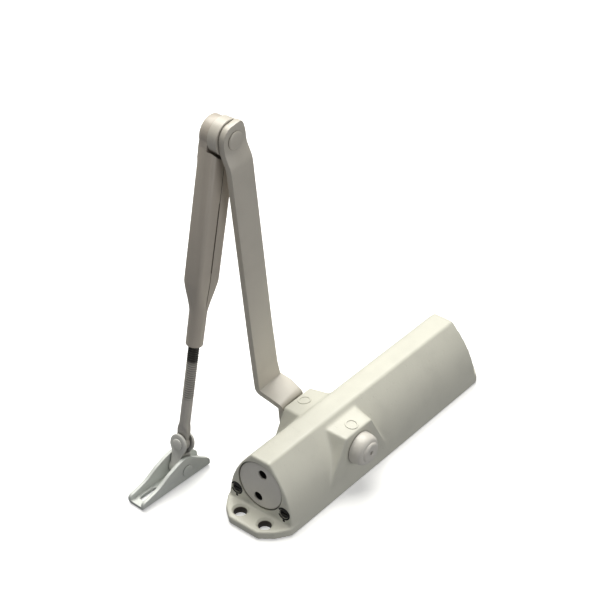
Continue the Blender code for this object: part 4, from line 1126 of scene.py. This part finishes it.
def shoe_wall_outline():
    """Side of the shoe as (x, z) points about its pin, with z up from the pin."""
    base = -SHOE_PIN_Z
    profile = [
        (SHOE_FRONT, -1.0 * MM),
        (SHOE_FRONT, 5.2 * MM),
        (-28.3 * MM, 7.3 * MM),
        (-24.0 * MM, 8.5 * MM),
        (-19.8 * MM, 10.6 * MM),
        (-15.5 * MM, 13.3 * MM),
        (-11.3 * MM, 15.0 * MM),
        (-7.3 * MM, 16.6 * MM),
        (-1.0 * MM, 18.2 * MM),
        (3.4 * MM, 16.6 * MM),
        (7.2 * MM, 14.3 * MM),
        (13.7 * MM, 9.9 * MM),
        (SHOE_REAR, 5.8 * MM),
        (SHOE_REAR, -1.0 * MM),
    ]
    return [(along, base + height) for along, height in profile]


def channel_section():
    """Section of the shoe's bent channel as (y, z) points about its pin."""
    outer, wall, floor, top = 6.7 * MM, 2.3 * MM, -SHOE_PIN_Z, 12.0 * MM
    inner = outer - wall
    bend, small = 2.6 * MM, 0.5 * MM
    section = [(-outer, top)] + arc(bend, 180.0, 270.0, 6, (-outer + bend, floor + bend))
    section += arc(bend, 270.0, 360.0, 6, (outer - bend, floor + bend)) + [(outer, top), (inner, top)]
    section += arc(small, 0.0, -90.0, 3, (inner - small, floor + wall + small))
    section += arc(small, -90.0, -180.0, 3, (-inner + small, floor + wall + small))
    return section + [(-inner, top)]


def make_shoe(finishes):
    """The bent channel of the shoe with its slot and holes, and its pin."""
    channel = prism(channel_section(), "X", SHOE_FRONT - 1.2 * MM, SHOE_REAR + 1.4 * MM)
    shoe = add_piece(
        "shoe_channel", channel, finishes["shoe_paint"],
        "shoe_unit", SHOE_FRAME, ("shoe",),
    )
    wall_outline = rounded_outline(shoe_wall_outline(), 2.4 * MM)
    combine(shoe, prism(wall_outline, "Y", -9.0 * MM, 9.0 * MM), "INTERSECT")
    soften(shoe, 0.35 * MM, 2, 45.0)
    radius = SHOE_HOLE_RADIUS
    cut_low, cut_high = -SHOE_PIN_Z - 2.0 * MM, -SHOE_PIN_Z + 4.0 * MM
    slot = arc(radius, 90.0, 270.0, 16, (-29.9 * MM, 0.0)) + arc(radius, -90.0, 90.0, 16, (-20.9 * MM, 0.0))
    combine(shoe, prism(slot, "Z", cut_low, cut_high))
    combine(shoe, shifted(cylinder(radius, cut_low, cut_high, "Z"), Vector((12.2 * MM, 0.0, 0.0))))
    combine(shoe, cylinder(SHOE_PIN_HOLE_RADIUS, -12.0 * MM, 12.0 * MM, "Y"))
    pin = rivet_profile(2.2 * MM, 3.8 * MM, -7.0 * MM, 7.0 * MM, 0.9 * MM, 0.9 * MM)
    add_piece(
        "shoe_pin_domed", turned(pin, "Y", 48), finishes["shoe_paint"],
        "shoe_unit", SHOE_FRAME, ("shoe_pin",),
    )


# ---------------------------------------------------------------- scene

def refinish_cad_nodes(frame, finishes):
    """Give every CAD node the finish of its slot in the record."""
    for entry in frame["record"]["subparts"]:
        mesh = frame["nodes"][entry["node"]].data
        mesh.materials.clear()
        mesh.materials.append(finishes[entry["material_slot"]])


def add_light(name, size, energy, place, colour=(1.0, 1.0, 1.0)):
    """A soft square light aimed at the part."""
    data = bpy.data.lights.new(name, "AREA")
    data.color = colour
    data.size = size
    data.energy = energy
    light = bpy.data.objects.new(name, data)
    light.visible_camera = False
    bpy.context.scene.collection.objects.link(light)
    light.location = place
    light.rotation_euler = (LIGHT_TARGET - Vector(place)).to_track_quat("-Z", "Y").to_euler()


def make_world():
    """A background that lights the part from below like a pale table, and is white to the camera."""
    world = bpy.data.worlds.new("studio")
    world.use_nodes = True
    tree = world.node_tree
    background = tree.nodes["Background"]
    background.inputs["Color"].default_value = (0.98, 0.99, 1.0, 1.0)
    direction = tree.nodes.new("ShaderNodeTexCoord")
    split = tree.nodes.new("ShaderNodeSeparateXYZ")
    strength = tree.nodes.new("ShaderNodeMapRange")
    for socket, value in (("From Min", -0.3), ("From Max", 0.6), ("To Min", 0.24), ("To Max", 0.08)):
        strength.inputs[socket].default_value = value
    tree.links.new(direction.outputs["Generated"], split.inputs["Vector"])
    tree.links.new(split.outputs["Z"], strength.inputs["Value"])
    seen = tree.nodes.new("ShaderNodeLightPath")
    brightest = tree.nodes.new("ShaderNodeMath")
    brightest.operation = "MAXIMUM"
    tree.links.new(strength.outputs["Result"], brightest.inputs[0])
    tree.links.new(seen.outputs["Is Camera Ray"], brightest.inputs[1])
    tree.links.new(brightest.outputs["Value"], background.inputs["Strength"])
    bpy.context.scene.world = world


def make_floor():
    """A plain pale floor just below the part, which lights nothing and isn't mirrored in it."""
    mesh = bpy.data.meshes.new("floor")
    reach = 6.0
    corners = [(-reach, -reach, 0.0), (reach, -reach, 0.0), (reach, reach, 0.0), (-reach, reach, 0.0)]
    mesh.from_pydata(corners, [], [(0, 1, 2, 3)])
    floor = bpy.data.objects.new("floor", mesh)
    bpy.context.scene.collection.objects.link(floor)
    floor.location = (0.0, 0.0, -0.2 * MM)
    floor.visible_diffuse = False
    floor.visible_glossy = False
    finish = Finish("floor_paper", (0.94, 0.94, 0.94), 0.8)
    finish.tint(finish.ranged(finish.noise(3.0), 0.3, 0.7, 0.0, 0.3), (0.92, 0.92, 0.92))
    finish.shader.inputs["Emission Color"].default_value = (1.0, 1.0, 1.0, 1.0)
    finish.shader.inputs["Emission Strength"].default_value = 0.35
    mesh.materials.append(finish.material)


def make_studio():
    """The floor, a background, a large soft light above and two weak fills."""
    make_floor()
    make_world()
    bpy.context.scene.view_settings.view_transform = "Standard"
    add_light("overhead", 1.3, 31.0, (0.32, 0.45, 1.38), (1.0, 0.99, 0.94))
    add_light("front_fill", 1.0, 5.6, (0.25, -1.4, 0.25), (1.0, 0.99, 0.97))
    add_light("side_fill", 0.8, 1.6, (-1.3, -0.5, 0.35))


def make_camera():
    """The camera at the photograph's viewing angle."""
    towards = Vector((
        math.sin(CAMERA_AZIMUTH) * math.cos(CAMERA_ELEVATION),
        -math.cos(CAMERA_AZIMUTH) * math.cos(CAMERA_ELEVATION),
        math.sin(CAMERA_ELEVATION),
    ))
    data = bpy.data.cameras.new("camera")
    data.lens = CAMERA_LENS
    data.sensor_width = SENSOR_WIDTH
    camera = bpy.data.objects.new("camera", data)
    bpy.context.scene.collection.objects.link(camera)
    camera.location = CAMERA_TARGET + towards * CAMERA_DISTANCE
    camera.rotation_euler = towards.to_track_quat("Z", "Y").to_euler()
    bpy.context.scene.camera = camera


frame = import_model()
finishes = make_finishes()
refinish_cad_nodes(frame, finishes)
make_casting(finishes)
make_plug("plug_face_valve_end", "end_plug_valve_end", VALVE_END_X + 0.4 * MM, 1.0, finishes)
make_plug("plug_face_spring_end", "end_plug_spring_end", SPRING_END_X - 0.4 * MM, -1.0, finishes)
make_cap(finishes)
make_pad_rings(finishes)
make_valve_marks(finishes)
make_main_arm(finishes)
make_elbow(finishes)
make_sleeve(finishes)
make_rod(finishes)
make_yoke(finishes)
make_shoe(finishes)
make_studio()
make_camera()
